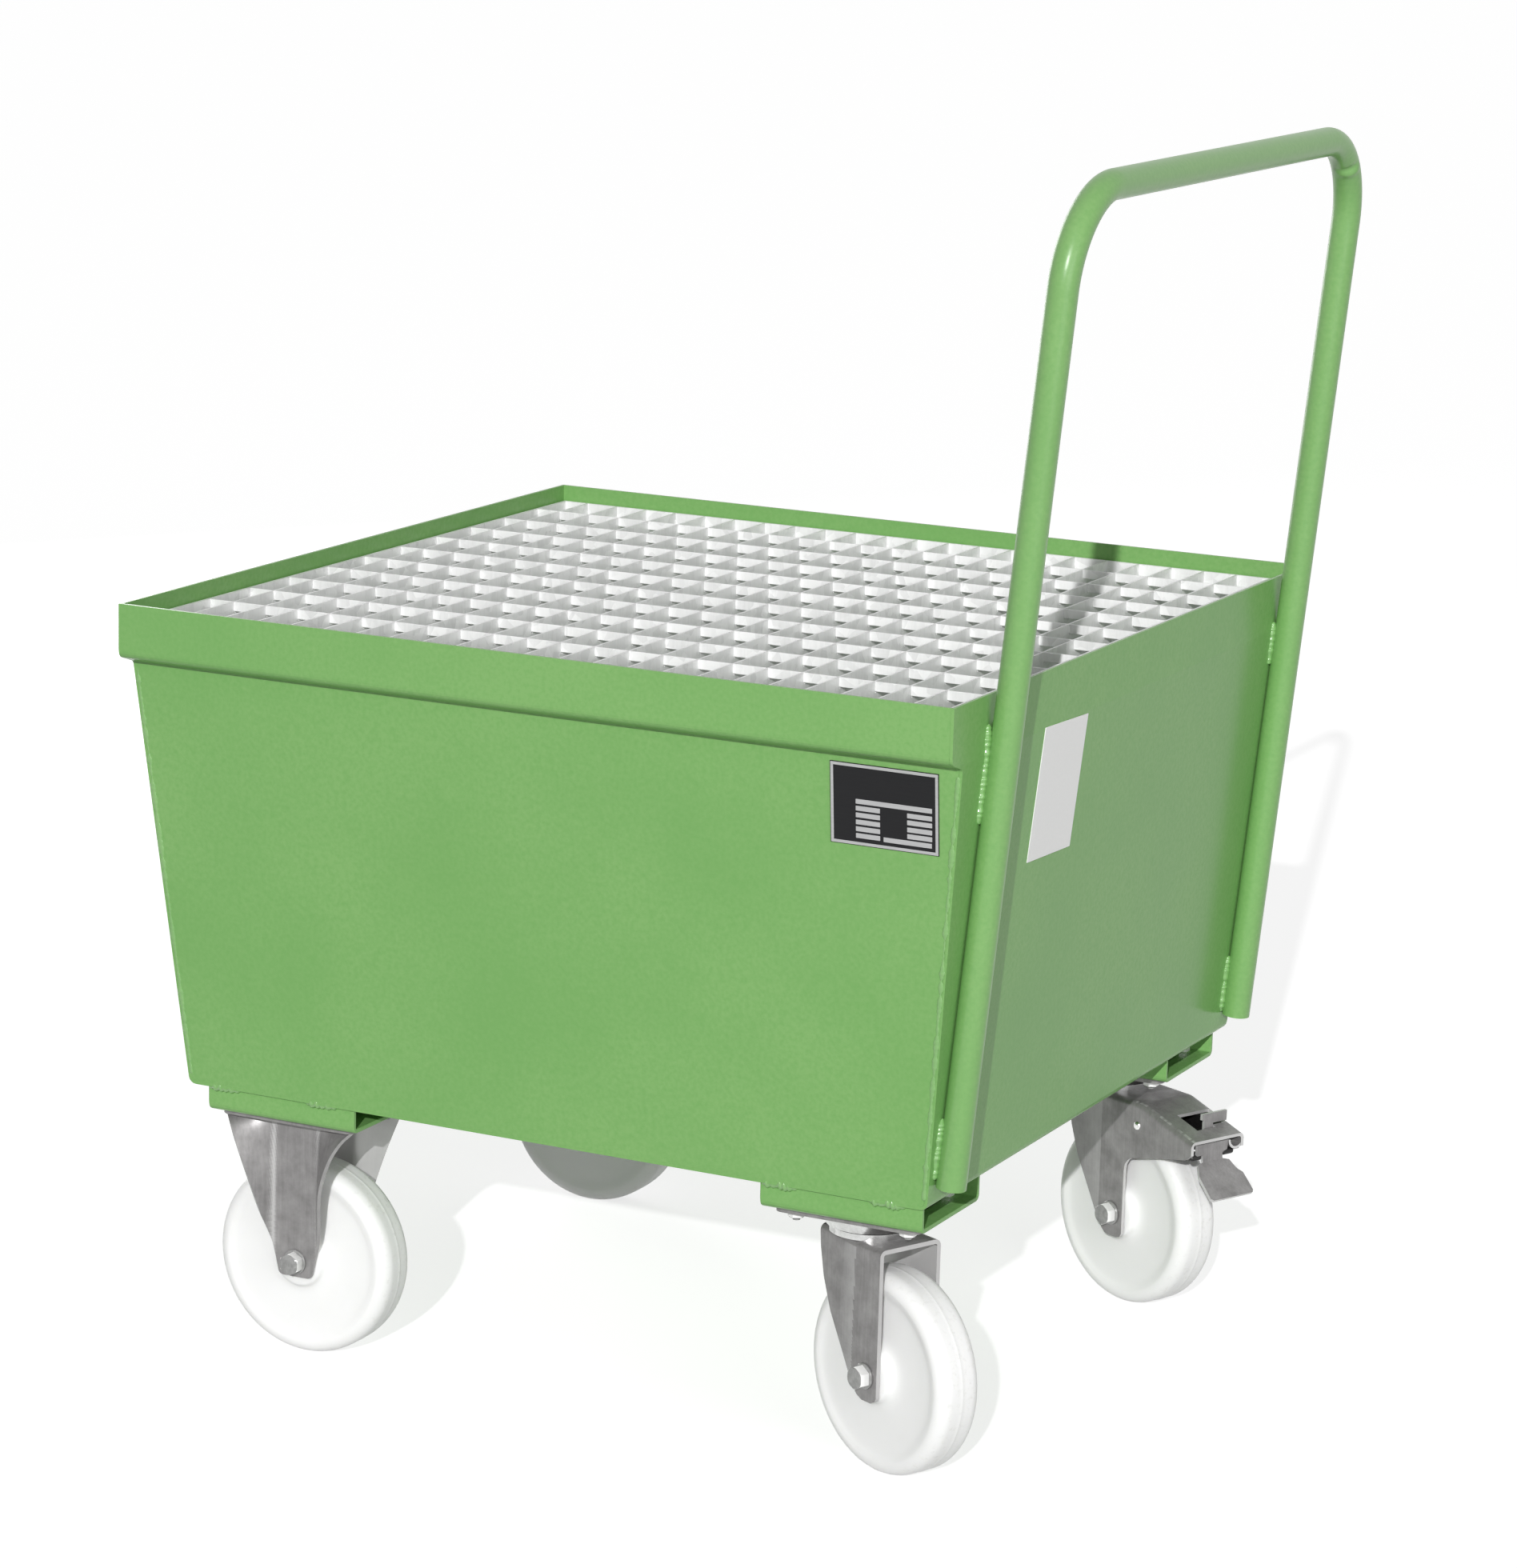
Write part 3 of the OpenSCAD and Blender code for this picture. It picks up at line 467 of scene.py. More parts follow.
def threaded(base, bolt, pitch, low, high, count=36):  # the radius rises and falls once per pitch
    s = thread
    angle = roundAngles(count)
    level = np.linspace(low, high, max(4, int(abs(high - low) / pitch * s["stepsPerPitch"])))[:, None]
    turn = (level / pitch - angle / (2 * np.pi)) % 1
    end = np.clip((np.abs(high - level) - s["chamferFrom"]) / s["chamferLong"], 0, 1)
    radius = bolt / 2 - s["deep"] * pitch * np.abs(2 * turn - 1) * end - s["chamferDeep"] * (1 - end)
    return closedGrid(spot(base, radius * np.cos(angle), level, radius * np.sin(angle)))


def castorBase(name):  # the axle's middle, the way the castor rolls, along the axle, and up
    joint = joints["wheel_%s_roll" % name]
    axle = np.array(joint["axis"], float)
    return np.array(joint["pos_m"]) * 1000, np.array([axle[1], -axle[0], 0]), axle, zAxis


def pinBase(name):  # the foot of the king pin's line on the floor, with the castor's axes
    origin = np.array(joints["swivel_%s_turn" % name]["pos_m"]) * [1000, 1000, 0]
    return (origin,) + castorBase(name)[1:]


# wheels: the hub swells out of a shallow dish, the rim has a soft shoulder and the tread a parting line;
# the side is given as radius and distance from the wheel's middle
wheel = dict(
    bore=10.05, boreEase=1, hubHalf=29, half=22.4, tread=89.8, round=12, shoulder=(10, 90), flat=4,
    partingHigh=0.2, partingHalf=0.9, partingTop=0.25, markFrom=82, markRun=6, steps=144,
    side=[(21.5, 29), (23.8, 27.4), (26.4, 22.6), (33, 20.4), (46, 20), (62, 20.1), (70, 20.6),
          (75, 21.8), (77.8, 22.4)])


def wheels():  # one side's profile, mirrored, turned round the axle
    s = wheel
    corner = np.radians(np.linspace(*s["shoulder"], 9))
    side = np.concatenate([
        [[s["bore"], s["hubHalf"] - s["boreEase"]], [s["bore"] + s["boreEase"], s["hubHalf"]]],
        curve(s["side"], 5),
        np.stack([s["tread"] - s["round"] + s["round"] * np.sin(corner),
                  s["half"] - s["round"] + s["round"] * np.cos(corner)], -1),
        [[s["tread"], s["flat"]], [s["tread"], s["partingHalf"]],
         [s["tread"] + s["partingHigh"], s["partingTop"]]]])
    both = np.concatenate([side, side[::-1] * [1, -1]])
    rolled = np.clip((np.repeat(both[:, 0], s["steps"]) - s["markFrom"]) / s["markRun"], 0, 1)
    for name in corners:
        points = turned(castorBase(name), both[:, 0], both[:, 1], s["steps"])
        piece = putPiece("wheel_" + name + "_cast", [closedGrid(points, wrapRows=True)], "wheel_" + name,
                         "polyamide", standsFor=("wheel_" + name,))
        piece.data.attributes.new("tread", "FLOAT", "POINT").data.foreach_set("value", rolled)


# axle bolts: washer, chamfered hexagon head, shank, and a threaded end through a locking nut
axleBolt = dict(
    face=33.5, washer=23, washerBore=6.2, washerThick=2.2, washerEase=0.6, washerFoot=0.5,
    flats=18, headHigh=9.5, bolt=12, pitch=1.75, end=12, nutFlats=19, nutHigh=10,
    collar=8, collarBore=6.1, collarHigh=2, collarEase=0.9, collarTop=(7.2, 6.4))


def axleBolts():  # turned profiles of radius and distance along the axle, with hexagons between
    s = axleBolt
    face, bore, ease, collar = s["face"], s["washerBore"], s["washerEase"], s["collar"]
    out = face + s["washerThick"]
    ring = s["washer"] / 2
    high = face + s["nutHigh"]
    for name in corners:
        base = castorBase(name)
        body = "tub" if name[1] == "l" else "swivel_" + name
        washer = closedGrid(turned(base, [bore, ring - ease, ring, ring, ring - ease, bore],
                                   [-face, -face, -face - s["washerFoot"], ease - out, -out, -out], 64), True)
        head = hexBody(base, s["flats"], -out, -out - s["headHigh"])
        shank = closedGrid(turned(base, [s["bolt"] / 2] * 2, [-out, face + 1], 40))
        end = threaded(base, s["bolt"], s["pitch"], face + 0.5, face + s["end"])
        putPiece("axleBolt_" + name, [washer, head, shank, end], body, "fastener",
                 standsFor=("axle_bolt_" + name,))
        nut = hexBody(base, s["nutFlats"], face, high - s["collarHigh"], bore=collar)
        neck = closedGrid(turned(base, [s["collarBore"], collar, collar, *s["collarTop"]],
                                 [face + 1, face + 1, high - s["collarEase"], high, high], 48), True)
        putPiece("lockNut_" + name, [nut, neck], body, "fastener", standsFor=("axle_nut_" + name,))


# castor plate bolts: heads up in the channel, nuts and thread ends below the plate
plateBolt = dict(alongGap=105, acrossGap=75, bolt=8, pitch=1.25, flats=13, plateLow=224, headLow=234,
                 headHigh=5.3, nutHigh=6.5, end=9)


def plateBolts():  # a hexagon, a thread and a hexagon nut at each corner of the bolt pattern
    s = plateBolt
    for name in corners:
        low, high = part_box("bolts_" + name)
        middle = np.array([(low.x + high.x) * 500, (low.y + high.y) * 500, 0])
        heads, nuts = [], []
        for i in (-1, 1):
            for j in (-1, 1):
                place = middle + [i * s["alongGap"] / 2, j * s["acrossGap"] / 2, 0]
                base = (place, xAxis, zAxis, yAxis)
                heads.append(hexBody(base, s["flats"], s["headLow"], s["headLow"] + s["headHigh"], count=36))
                heads.append(threaded(base, s["bolt"], s["pitch"], s["headLow"], s["plateLow"] - s["end"],
                                      count=24))
                nuts.append(hexBody(base, s["flats"], s["plateLow"], s["plateLow"] - s["nutHigh"],
                                    bore=s["bolt"] / 2, count=36))
        putPiece("plateBolts_" + name, heads, "tub", "fastener", standsFor=("bolts_" + name,))
        putPiece("plateNuts_" + name, nuts, "tub", "fastener", standsFor=("nuts_" + name,))


def pastFold(x, soft):  # how far x lies past a fold at 0, eased over the bend
    return (x + np.hypot(x, soft)) / 2


# fixed forks: a top plate and two legs whose sides turn out and sweep up into the plate;
# the edge is given as height, half width and turn-out
fixedFork = dict(
    # painted highlight along each fold, and painted light on the legs' insides
    face=32, sheet=3, fold=23.4, soft=3, wearAndSheen=0.6, sheenWide=2.2, paintedInnerLight=0.7, cutBright=0.2,
    plate=(135, 105), plateCorner=8, plateLow=224, plateHigh=230, plateEase=0.6,
    edge=[(76, 13, 0), (76.9, 15.6, 0), (79, 17.3, 0), (82, 18.1, 0), (90, 19.9, 0), (103, 23.1, 1.2),
          (115, 26.5, 4.6), (136, 31.5, 12.4), (150, 34, 17), (166, 37.5, 21.2), (182, 42.5, 23.4),
          (196, 48, 23.8), (206, 52.9, 22.6), (216, 59, 19), (224, 66, 13)])


def fixedForks():  # rows up the edge's curve, columns from edge to edge, moved out past the fold
    s = fixedFork
    height, half, out = curve(s["edge"], 4).T[:, :, None]
    along = np.linspace(-1, 1, 49) * half
    turnOut = out * pastFold(np.abs(along) - s["fold"], s["soft"]) / pastFold(half - s["fold"], s["soft"])
    paintedLight = s["wearAndSheen"] * np.exp(-((np.abs(along) - s["fold"]) / s["sheenWide"]) ** 2)  # painted highlight along the fold
    for name in ("fl", "rl"):
        origin, roll, axle, up = castorBase(name)
        foot = origin * [1, 1, 0]
        parts = []
        for side in (-1, 1):
            middle = spot((foot, roll, axle, up), -side * along, side * (s["face"] + turnOut), height)
            parts.append(pressedSheet(middle, s["sheet"], edge=s["cutBright"], wearAndSheen=paintedLight[:-1, :-1],
                                      paintedInnerLight=s["paintedInnerLight"]))
        parts.append(slab((foot, roll, up, axle), s["plate"], (0, 0), s["plateCorner"], s["plateLow"],
                          s["plateHigh"], s["plateEase"]))
        putPiece("fixedFork_" + name, parts, "tub", "zinc_plate", standsFor=("fixed_fork_" + name,))


# swivel forks: one sheet bent over the wheel, whose sides narrow a little behind the fold
bentFork = dict(bend=4, foldAt=20, narrow=8, narrowRun=58, soft=1.5)
# plain fork: the back and front edges are given as height and place along the castor
swivelFork = dict(
    # painted light: the legs' insides brighter, and the sheet paler behind the fold
    bentFork, face=31.5, sheet=4, top=203, pale=0.34, paleRun=22, paintedInnerLight=0.9, cutBright=0.7, rows=(44, 5, 25),
    back=[(68, 35), (69, 31), (72, 27), (80, 21), (106, 3), (133, -16), (160, -28), (185, -34), (205, -36)],
    front=[(68, 47), (69.5, 52), (73, 54), (205, 54)])


def archAcross(s, along, bend, share):  # the half width, drawn in behind the fold and rounded at the bend
    half = s["face"] - s["narrow"] / s["narrowRun"] * pastFold(s["foldAt"] - along, s["soft"])
    return share * (half - s["bend"] + s["bend"] * np.cos(bend))


def paintedFacetLight(s, along, bend):  # painted light: the sheet is paler behind the fold, and darkens again towards its back edge
    back = s["foldAt"] - along
    return (s["pale"] * np.clip(1 - back / s["paleRun"], 0, 1) * (back > 0) * (bend == 0))[:-1, :-1]


def archRows(legRows, bendRows, roofRows):
    # rows up one leg, over the roof and down: share of the leg, angle of the bend, share of the roof
    rise, turn = np.linspace(0, 1, legRows), np.linspace(0, np.pi / 2, bendRows + 2)[1:-1]
    flat, side = np.zeros(legRows), np.ones(legRows + bendRows)
    leg = np.concatenate([rise, np.ones(2 * bendRows + roofRows), rise[::-1]])
    bend = np.concatenate([flat, turn, np.full(roofRows, np.pi / 2), turn[::-1], flat])
    share = np.concatenate([-side, np.linspace(-1, 1, roofRows), side])
    return leg[:, None], bend[:, None], share[:, None]


def plainFork():  # rows over the arch, columns from the back edge to the front edge at each height
    s = swivelFork
    leg, bend, share = archRows(*s["rows"])
    low = s["front"][0][0]
    height = low + leg * (s["top"] - s["bend"] - low) + s["bend"] * np.sin(bend)
    start = np.interp(height, *zip(*s["back"]))
    end = np.interp(height, *zip(*s["front"]))
    along = start + (end - start) * np.linspace(0, 1, 40)
    middle = spot(pinBase("fr"), along, archAcross(s, along, bend, share), height)
    sheet = pressedSheet(middle, s["sheet"], edge=s["cutBright"], wearAndSheen=paintedFacetLight(s, along, bend),
                         paintedInnerLight=s["paintedInnerLight"] * (bend[:-1] == 0))
    putPiece("swivelFork_fr", [sheet], "swivel_fr", "zinc_plate", sharp=50, standsFor=("swivel_fork_fr",))


# brake fork: the same legs, with a hood that runs on over the wheel; a slot in its roof, the far end rolled
# under; the lower edge and the roof are given as place along the castor and height
brakeFork = dict(
    # painted light: pale and paleRun make the sheet paler behind the fold
    bentFork, face=31.8, sheet=3.4, pale=0.3, paleRun=70, rows=(24, 5, 25), span=(-36, 144),
    under=[(-36, 196), (-34, 185), (-28, 160), (-16, 133), (3, 106), (21, 80), (27, 72), (31, 69), (35, 68),
           (47, 68), (52, 69.5), (54, 73), (54.1, 136), (55.2, 142), (58.5, 147), (63, 150), (69, 151.5),
           (106, 160.5), (126, 164.2), (135, 166), (140, 168.5), (144, 172)],
    roof=[(-36, 203.3), (74, 203.3), (144, 183.3)], roofBend=1.5, farLow=172,
    slot=(99.8, 127.8), slotShare=(-0.42, 0.42), notchTo=123.5,
    rollR=8.6, rollRun=(118, 143.5), rollAt=24.4, rollZ=180, rollSheet=2.4,
    # painted highlight: short bright lengths along the roof's bend
    wearAndSheen=0.55, sheenFrom=60, sheenBend=(0.9, 1.4), sheenMore=0.35, waves=(0.83, 0.31, 0.17))


def hoodedFork():  # rows over the arch, columns along the castor, from the lower edge up to the roof
    s = brakeFork
    leg, bend, share = archRows(*s["rows"])
    stops = [[t for t, z in s["under"]], np.linspace(*s["span"], 61), s["slot"], [s["notchTo"]]]
    along = np.unique(np.concatenate(stops))
    low = np.interp(along, *zip(*s["under"])) + np.zeros_like(leg)
    low = np.where((share > 0) & (along > s["slot"][1]), np.maximum(low, s["farLow"]), low)
    top = np.interp(along, *zip(*s["roof"])) - s["bend"]
    height = low + leg * (top - low) + s["bend"] * np.sin(bend)
    base = pinBase("rr")
    middle = spot(base, along, archAcross(s, along, bend, share), height)

    start, cross = along[:-1], (share[:-1] + share[1:]) / 2
    slotEnd = np.where(cross < s["slotShare"][1], s["slot"][1], s["notchTo"])  # room for the tab's swing
    slot = (cross > s["slotShare"][0]) & (start >= s["slot"][0]) & (along[1:] <= slotEnd)
    keep = ~(slot & (bend[:-1] > s["roofBend"]))

    turn = np.linspace(0, np.pi, 17)
    run = np.linspace(*s["rollRun"], 4)[:, None]
    rolled = spot(base, run, s["rollAt"] + s["rollR"] * np.cos(turn), s["rollZ"] - s["rollR"] * np.sin(turn))

    fold = (bend[:-1] > s["sheenBend"][0]) & (bend[:-1] < s["sheenBend"][1])  # painted highlight along the roof's bend, in short lengths
    one, two, three = (start * k for k in s["waves"])
    scuffAndGlint = np.sin(one) * np.sin(two) + 0.5 * np.sin(three + bend[:-1] * 3)
    wearAndSheen = s["wearAndSheen"] * fold * np.clip(scuffAndGlint + s["sheenMore"], 0, 1) * (start > s["sheenFrom"])
    wearAndSheen = wearAndSheen + paintedFacetLight(s, along, bend)
    putPiece("brakeFork_rr", [pressedSheet(middle, s["sheet"], keep, wearAndSheen=wearAndSheen),
                              pressedSheet(rolled, s["rollSheet"])],
             "swivel_rr", "zinc_plate", sharp=50, standsFor=("brake_fork_rr",))


# brake pedal: a stem under the hood's lip, a narrow neck, a tread bent outwards, a release tab in the slot;
# strips are given as place along the castor, height, left and right edge, the tread's sides as distance down
# its slope and place across
pedal = dict(
    sheet=3, pinR=2.9, pinEase=0.4, barrelR=5, barrelGap=0.2, barrelRun=(-16, 6), turn=43, bend=3.5,
    stop=(140, 168.3), stopRuns=[(-31, -17.6), (8.5, 23.5)],
    stem=[(142, 180.5, -25, 13.8), (142, 176, -25, 13.8), (142, 171.6, -25, 13), (142, 170.4, -24.5, 8.6),
          (142, 170.3, -17.2, 7.4), (142, 165.4, -17.6, 7.4)],
    slope=[0.6, 1.4, 2.4, 6, 10, 14, 18, 24, 30, 34, 38, 39.2, 40.3],
    left=[(0, -18.3), (2.4, -25.3), (14, -31.3), (38, -32.2), (40.3, -29.4)],
    right=[(0, 7.3), (2.4, 14.1), (13, 16.8), (18, 21.6), (37.8, 21.8), (40.4, 19.3)],
    tab=[(138, 171, -4, 9), (131, 174, -4, 9), (126, 178.5, -4, 9), (124.8, 184, -1, 10),
         (124.8, 193.4, -1, 10), (124.8, 193.5, -1, 27), (125, 197.4, -1, 27), (125, 197.5, -4, 27),
         (125.1, 203.3, -4, 27)],
    nose=[(137, 172.5, -13, 13), (115, 172.5, -13, 13)],
    lever=[(78, 183.1, -13, 20), (112.5, 177.3, -13, 20)], leverThick=5,
    cheekRun=(68, 106), cheekAt=21, cheekTall=(176, 191.5), rivet=(70, 183.5), rivetR=4.3, rivetHigh=2.8)


def strip(base, stations, thick):  # a bent flat strip: rows at its stations, columns from edge to edge
    along, height, left, right = np.array(stations, float).T[:, :, None]
    return pressedSheet(spot(base, along, left + (right - left) * np.linspace(0, 1, 21), height), thick)


def roundedRod(base, radius, dome, low, high):  # a turned rod with an elliptical dome each way
    turn = np.linspace(0.15, np.pi / 2, 7)
    size, rise = radius * np.sin(turn), dome * (1 - np.cos(turn))
    return closedGrid(turned(base, np.concatenate([size, size[::-1]]),
                             np.concatenate([low + rise, high - rise[::-1]]), 32))


def brakePedal():  # bent strips on the pedal and the shoe, turned rods across the fork
    s = pedal
    base = pinBase("rr")
    lean = math.radians(s["turn"])
    t0, z0 = s["stem"][-1][:2]
    turn = np.linspace(0, np.pi / 2 - lean, 6)[1:]
    arc = np.stack([t0 + s["bend"] * (1 - np.cos(turn)), z0 - s["bend"] * np.sin(turn)], -1)
    slope = np.array(s["slope"])
    sole = arc[-1] + slope[:, None] * [math.cos(lean), -math.sin(lean)]
    edges = [np.interp(slope, *zip(*s[k])) for k in ("left", "right")]
    neck = [(t, z) + s["stem"][-1][2:] for t, z in arc]
    plate = strip(base, s["stem"] + neck + list(zip(*sole.T, *edges)), s["sheet"])
    hinge = (np.array(joints["pedal_release"]["pos_m"]) * 1000,) + base[1:]
    bore, outer = s["pinR"] + s["barrelGap"], s["barrelR"]
    barrel = closedGrid(turned(hinge, [bore, outer, outer, bore], np.repeat(s["barrelRun"], 2), 40), True)
    putPiece("brakePedal_rr", [plate, strip(base, s["tab"], s["sheet"]), barrel], "brake_pedal", "zinc_plate",
             sharp=30, standsFor=("brake_pedal",))
    putPiece("pedalNose_rr", [strip(base, s["nose"], s["sheet"])], "brake_pedal", "bright_steel",
             material=blackPinAndShade)
    stop = (spot(base, s["stop"][0], 0, s["stop"][1]),) + base[1:]
    stops = [roundedRod(stop, s["pinR"], s["pinR"], low, high) for low, high in s["stopRuns"]]
    putPiece("pedalStops_rr", stops, "swivel_rr", "bright_steel", material=blackPinAndShade)
    reach = brakeFork["face"] + brakeFork["sheet"] / 2
    putPiece("pedalPin_rr", [roundedRod(hinge, s["pinR"], s["pinEase"], -reach, reach)], "swivel_rr",
             "bright_steel", material=blackPinAndShade, standsFor=("pedal_pin",))
    # painted shade: the near-black cheek and lever fill what shows through the roof's slot
    cheek = pressedSheet(spot(base, np.linspace(*s["cheekRun"], 9)[:, None], s["cheekAt"],
                              np.linspace(*s["cheekTall"], 5)), s["sheet"])
    putPiece("shoeLever_rr", [strip(base, s["lever"], s["leverThick"]), cheek], "brake_shoe", "bright_steel",
             material=blackPinAndShade)
    pivot = (spot(base, s["rivet"][0], 0, s["rivet"][1]),) + base[1:]
    end = reach + s["rivetHigh"]
    verts, faces = roundedRod(pivot, s["rivetR"], s["rivetHigh"], -end, end)[:2]
    putPiece("shoePin_rr", [(verts, faces, np.ones(len(faces)))], "swivel_rr", "bright_steel",
             standsFor=("shoe_pin",))


# push handle: a round tube bent twice; the bends flatten a little, the rear one is wrinkled on its inside
handle = dict(legY=325, low=272, top=1107.5, bendR=80, outer=13, wall=2.6, seat=0.08, flat=0.04, wrinkleAt=46,
              wrinkle=2.0, wrinkleLong=4.5, wrinkleSide=40, wrinkleWide=75, crestAt=0.5, dipAt=0.7)


def pushHandle():  # rings round a path of leg, quarter bend, bar, bend and leg, outside and then inside
    s = handle
    length = (s["top"] - s["low"]) / math.cos(wallLean)
    foot = tub["rimHalf"] + (s["outer"] + s["seat"]) / math.cos(wallLean)
    foot -= (tub["wallTop"] - s["low"]) * math.tan(wallLean)
    base = (np.array([tubX + foot, 0, s["low"]]), wallOut, yAxis, wallUp)
    bend = np.radians(np.linspace(0, 90, 61))  # rear bend first, angle from the leg
    reach, rise = s["legY"] - s["bendR"], length - s["bendR"]
    y = np.concatenate([[s["legY"]] * 2, reach + s["bendR"] * np.cos(bend)])
    z = np.concatenate([[0, rise * 0.5], rise + s["bendR"] * np.sin(bend)])
    way = np.concatenate([[0, 0], bend])  # angle of the tube's outward side
    inBend = np.concatenate([[0, 0], np.sin(2 * bend)])
    dent = s["bendR"] * (bend - math.radians(s["wrinkleAt"])) / s["wrinkleLong"]
    dent = np.exp(-(dent + s["crestAt"]) ** 2) - np.exp(-(dent - s["dipAt"]) ** 2)
    fold = np.concatenate([[0, 0], dent, np.zeros(len(y))])  # none on the legs and in the front bend
    y, z = np.concatenate([y, -y[::-1]]), np.concatenate([z, z[::-1]])
    way, inBend = np.concatenate([way, np.pi - way[::-1]]), np.concatenate([inBend, inBend[::-1]])
    angle = roundAngles(56)
    off = np.degrees((angle - np.pi + math.radians(s["wrinkleSide"]) + np.pi) % (2 * np.pi) - np.pi)
    share = np.cos(np.clip(off / s["wrinkleWide"], -1, 1) * np.pi / 2) ** 2
    rings = []
    for radius, wrinkle in ((s["outer"], s["wrinkle"]), (s["outer"] - s["wall"], 0)):
        bulge = radius + wrinkle * fold[:, None] * share
        side = bulge * np.cos(angle) * (1 - s["flat"] * inBend[:, None])
        face = bulge * np.sin(angle) * (1 + s["flat"] / 2 * inBend[:, None])
        ring = spot(base, face, y[:, None] + side * np.cos(way)[:, None],
                    z[:, None] + side * np.sin(way)[:, None])
        rings.append(ring if wrinkle else ring[::-1])
    putPiece("pushHandle_tube", [closedGrid(np.concatenate(rings), wrapRows=True)], "tub", "paint",
             material=tubePaint, standsFor=("push_handle",))


# weld beads: a low dome along a path, rippled, with tapered ends, half sunk in the joint; leg, bracket and
# seam are given as half width, height and roughness of the bead
weld = dict(
    step=0.8, ripple=0.12, pitch=5.5, knotGap=6.0, taperLong=1.2, taperLow=0.02, shift=2.5, sway=0.15,
    sunk=-0.5, legOff=7.5, legProud=0.8, legOut=(0.94, 0.34), leg=(4.2, 3.4, 0.25), legSeed=10,
    legRuns=[(672, 587), (334, 279), (655, 614), (331, 275)], bracket=(5.0, 4.2, 0.2), bracketSeed=20,
    bracketLong=36, bracketGap=14, slant=0.7, seam=(1.7, 0.75, 0.7), seamSeed=30, seamIn=3.6,
    seamTop=636, seamLow=262, seamStep=0.9)


def bead(points, side, out, half, high, rough, seed):  # rings round the path, their size rippling along it
    s = weld
    path = np.asarray(points, float)
    run = np.concatenate([[0], np.cumsum(np.linalg.norm(np.diff(path, axis=0), axis=1))])
    dice = np.random.default_rng(seed)
    knots = np.arange(0, run[-1] + 2 * s["knotGap"], s["knotGap"])
    wander, swell = (np.interp(run, knots, dice.uniform(-1, 1, len(knots))) for k in range(2))
    taper = np.sqrt(np.clip(np.minimum(run, run[-1] - run) / (half * s["taperLong"]), s["taperLow"], 1))
    wave = np.sin(2 * np.pi * run / s["pitch"] + s["shift"] * wander)
    size = taper * (1 + s["ripple"] * wave + rough * swell)
    angle = roundAngles(12)
    a = (np.cos(angle) * half * size[:, None] + s["sway"] * half * wander[:, None])[..., None]
    b = (np.maximum(np.sin(angle), s["sunk"]) * high * size[:, None])[..., None]
    return closedGrid(path[:, None] + a * np.asarray(side, float) + b * np.asarray(out, float))


def weldBeads():  # straight paths along the handle's legs, the brackets' edges and the tub's corners
    s = weld
    beads = dict(handleWelds=[], bracketWelds=[], cornerSeams=[])
    for k, (high, low) in enumerate(s["legRuns"]):
        legY = -handle["legY"] if k < 2 else handle["legY"]
        z = np.arange(low, high, s["step"])
        for turn in (-1, 1):
            y = np.full(len(z), legY + turn * s["legOff"])
            line = np.stack([tubX + wallHalf(z) + s["legProud"], y, z], -1)
            out = (s["legOut"][0], -s["legOut"][1] * turn, 0)
            beads["handleWelds"].append(bead(line, yAxis, out, *s["leg"], s["legSeed"] + k))
    for k, name in enumerate(corners):
        low, high = boxMm("bracket_" + name)
        for turn, y in ((-s["slant"], low[1]), (s["slant"], high[1])):
            for start in (low[0] + 1, high[0] - s["bracketGap"] - s["bracketLong"]):
                x = np.arange(start, start + s["bracketLong"], s["step"])
                line = np.stack([x, np.full(len(x), y), np.full(len(x), tub["floorZ"])], -1)
                side, out = (0, s["slant"], turn), (0, turn, -s["slant"])
                beads["bracketWelds"].append(bead(line, side, out, *s["bracket"], s["bracketSeed"] + k))
    z = np.arange(s["seamLow"], s["seamTop"], s["seamStep"])
    for k, (i, j) in enumerate(((-1, -1), (1, -1), (-1, 1), (1, 1))):
        line = np.stack([tubX + i * (wallHalf(z) - s["seamIn"]), j * panelHalf(z), z], -1)
        beads["cornerSeams"].append(bead(line, xAxis, (0, j, 0), *s["seam"], s["seamSeed"] + k))
    for name, parts in beads.items():
        putPiece(name, parts, "tub", "paint", sharp=60, material=pooledPaint)


# cross bars: flat bars with eased edges, a little lower than the CAD's, so that the sump shows under them
crossBar = dict(high=8.5, thick=2, pitch=66.67, corner=0.6, ease=0.4)


def crossBars():  # one long slab for each pitch from the grating's middle
    s = crossBar
    low, high = boxMm("cross_bars")
    middle, top = (low + high) / 2, high[2]
    reach = int((high[1] - low[1]) / 2 / s["pitch"])
    base = (middle * [1, 1, 0], xAxis, zAxis, yAxis)
    size = (high[0] - low[0], s["thick"])
    bars = [slab(base, size, (0, k * s["pitch"]), s["corner"], top - s["high"], top, s["ease"])
            for k in range(-reach, reach + 1)]
    putPiece("crossBars_flat", bars, "grating", "galvanised", standsFor=("cross_bars",))


# data plate: a pale border and bare pale fields on the dark foil; millimetres from the plate's upper left
# corner, a bar as left, right and top
dataPlate = dict(
    border=3, inset=0.5, back=0.1, proud=0.15, sunk=-0.05, corner=0.4, ease=0.05, row=4.1,
    left=(23.2, 45.1), right=(69.6, 92), longBar=(23.2, 92, 30.1), lowBar=(48.2, 91.7, 60),
    leftRows=[36, 41.8, 47.8, 53.7, 59.5], rightRows=[36.7, 42.6, 48.7, 54.4])


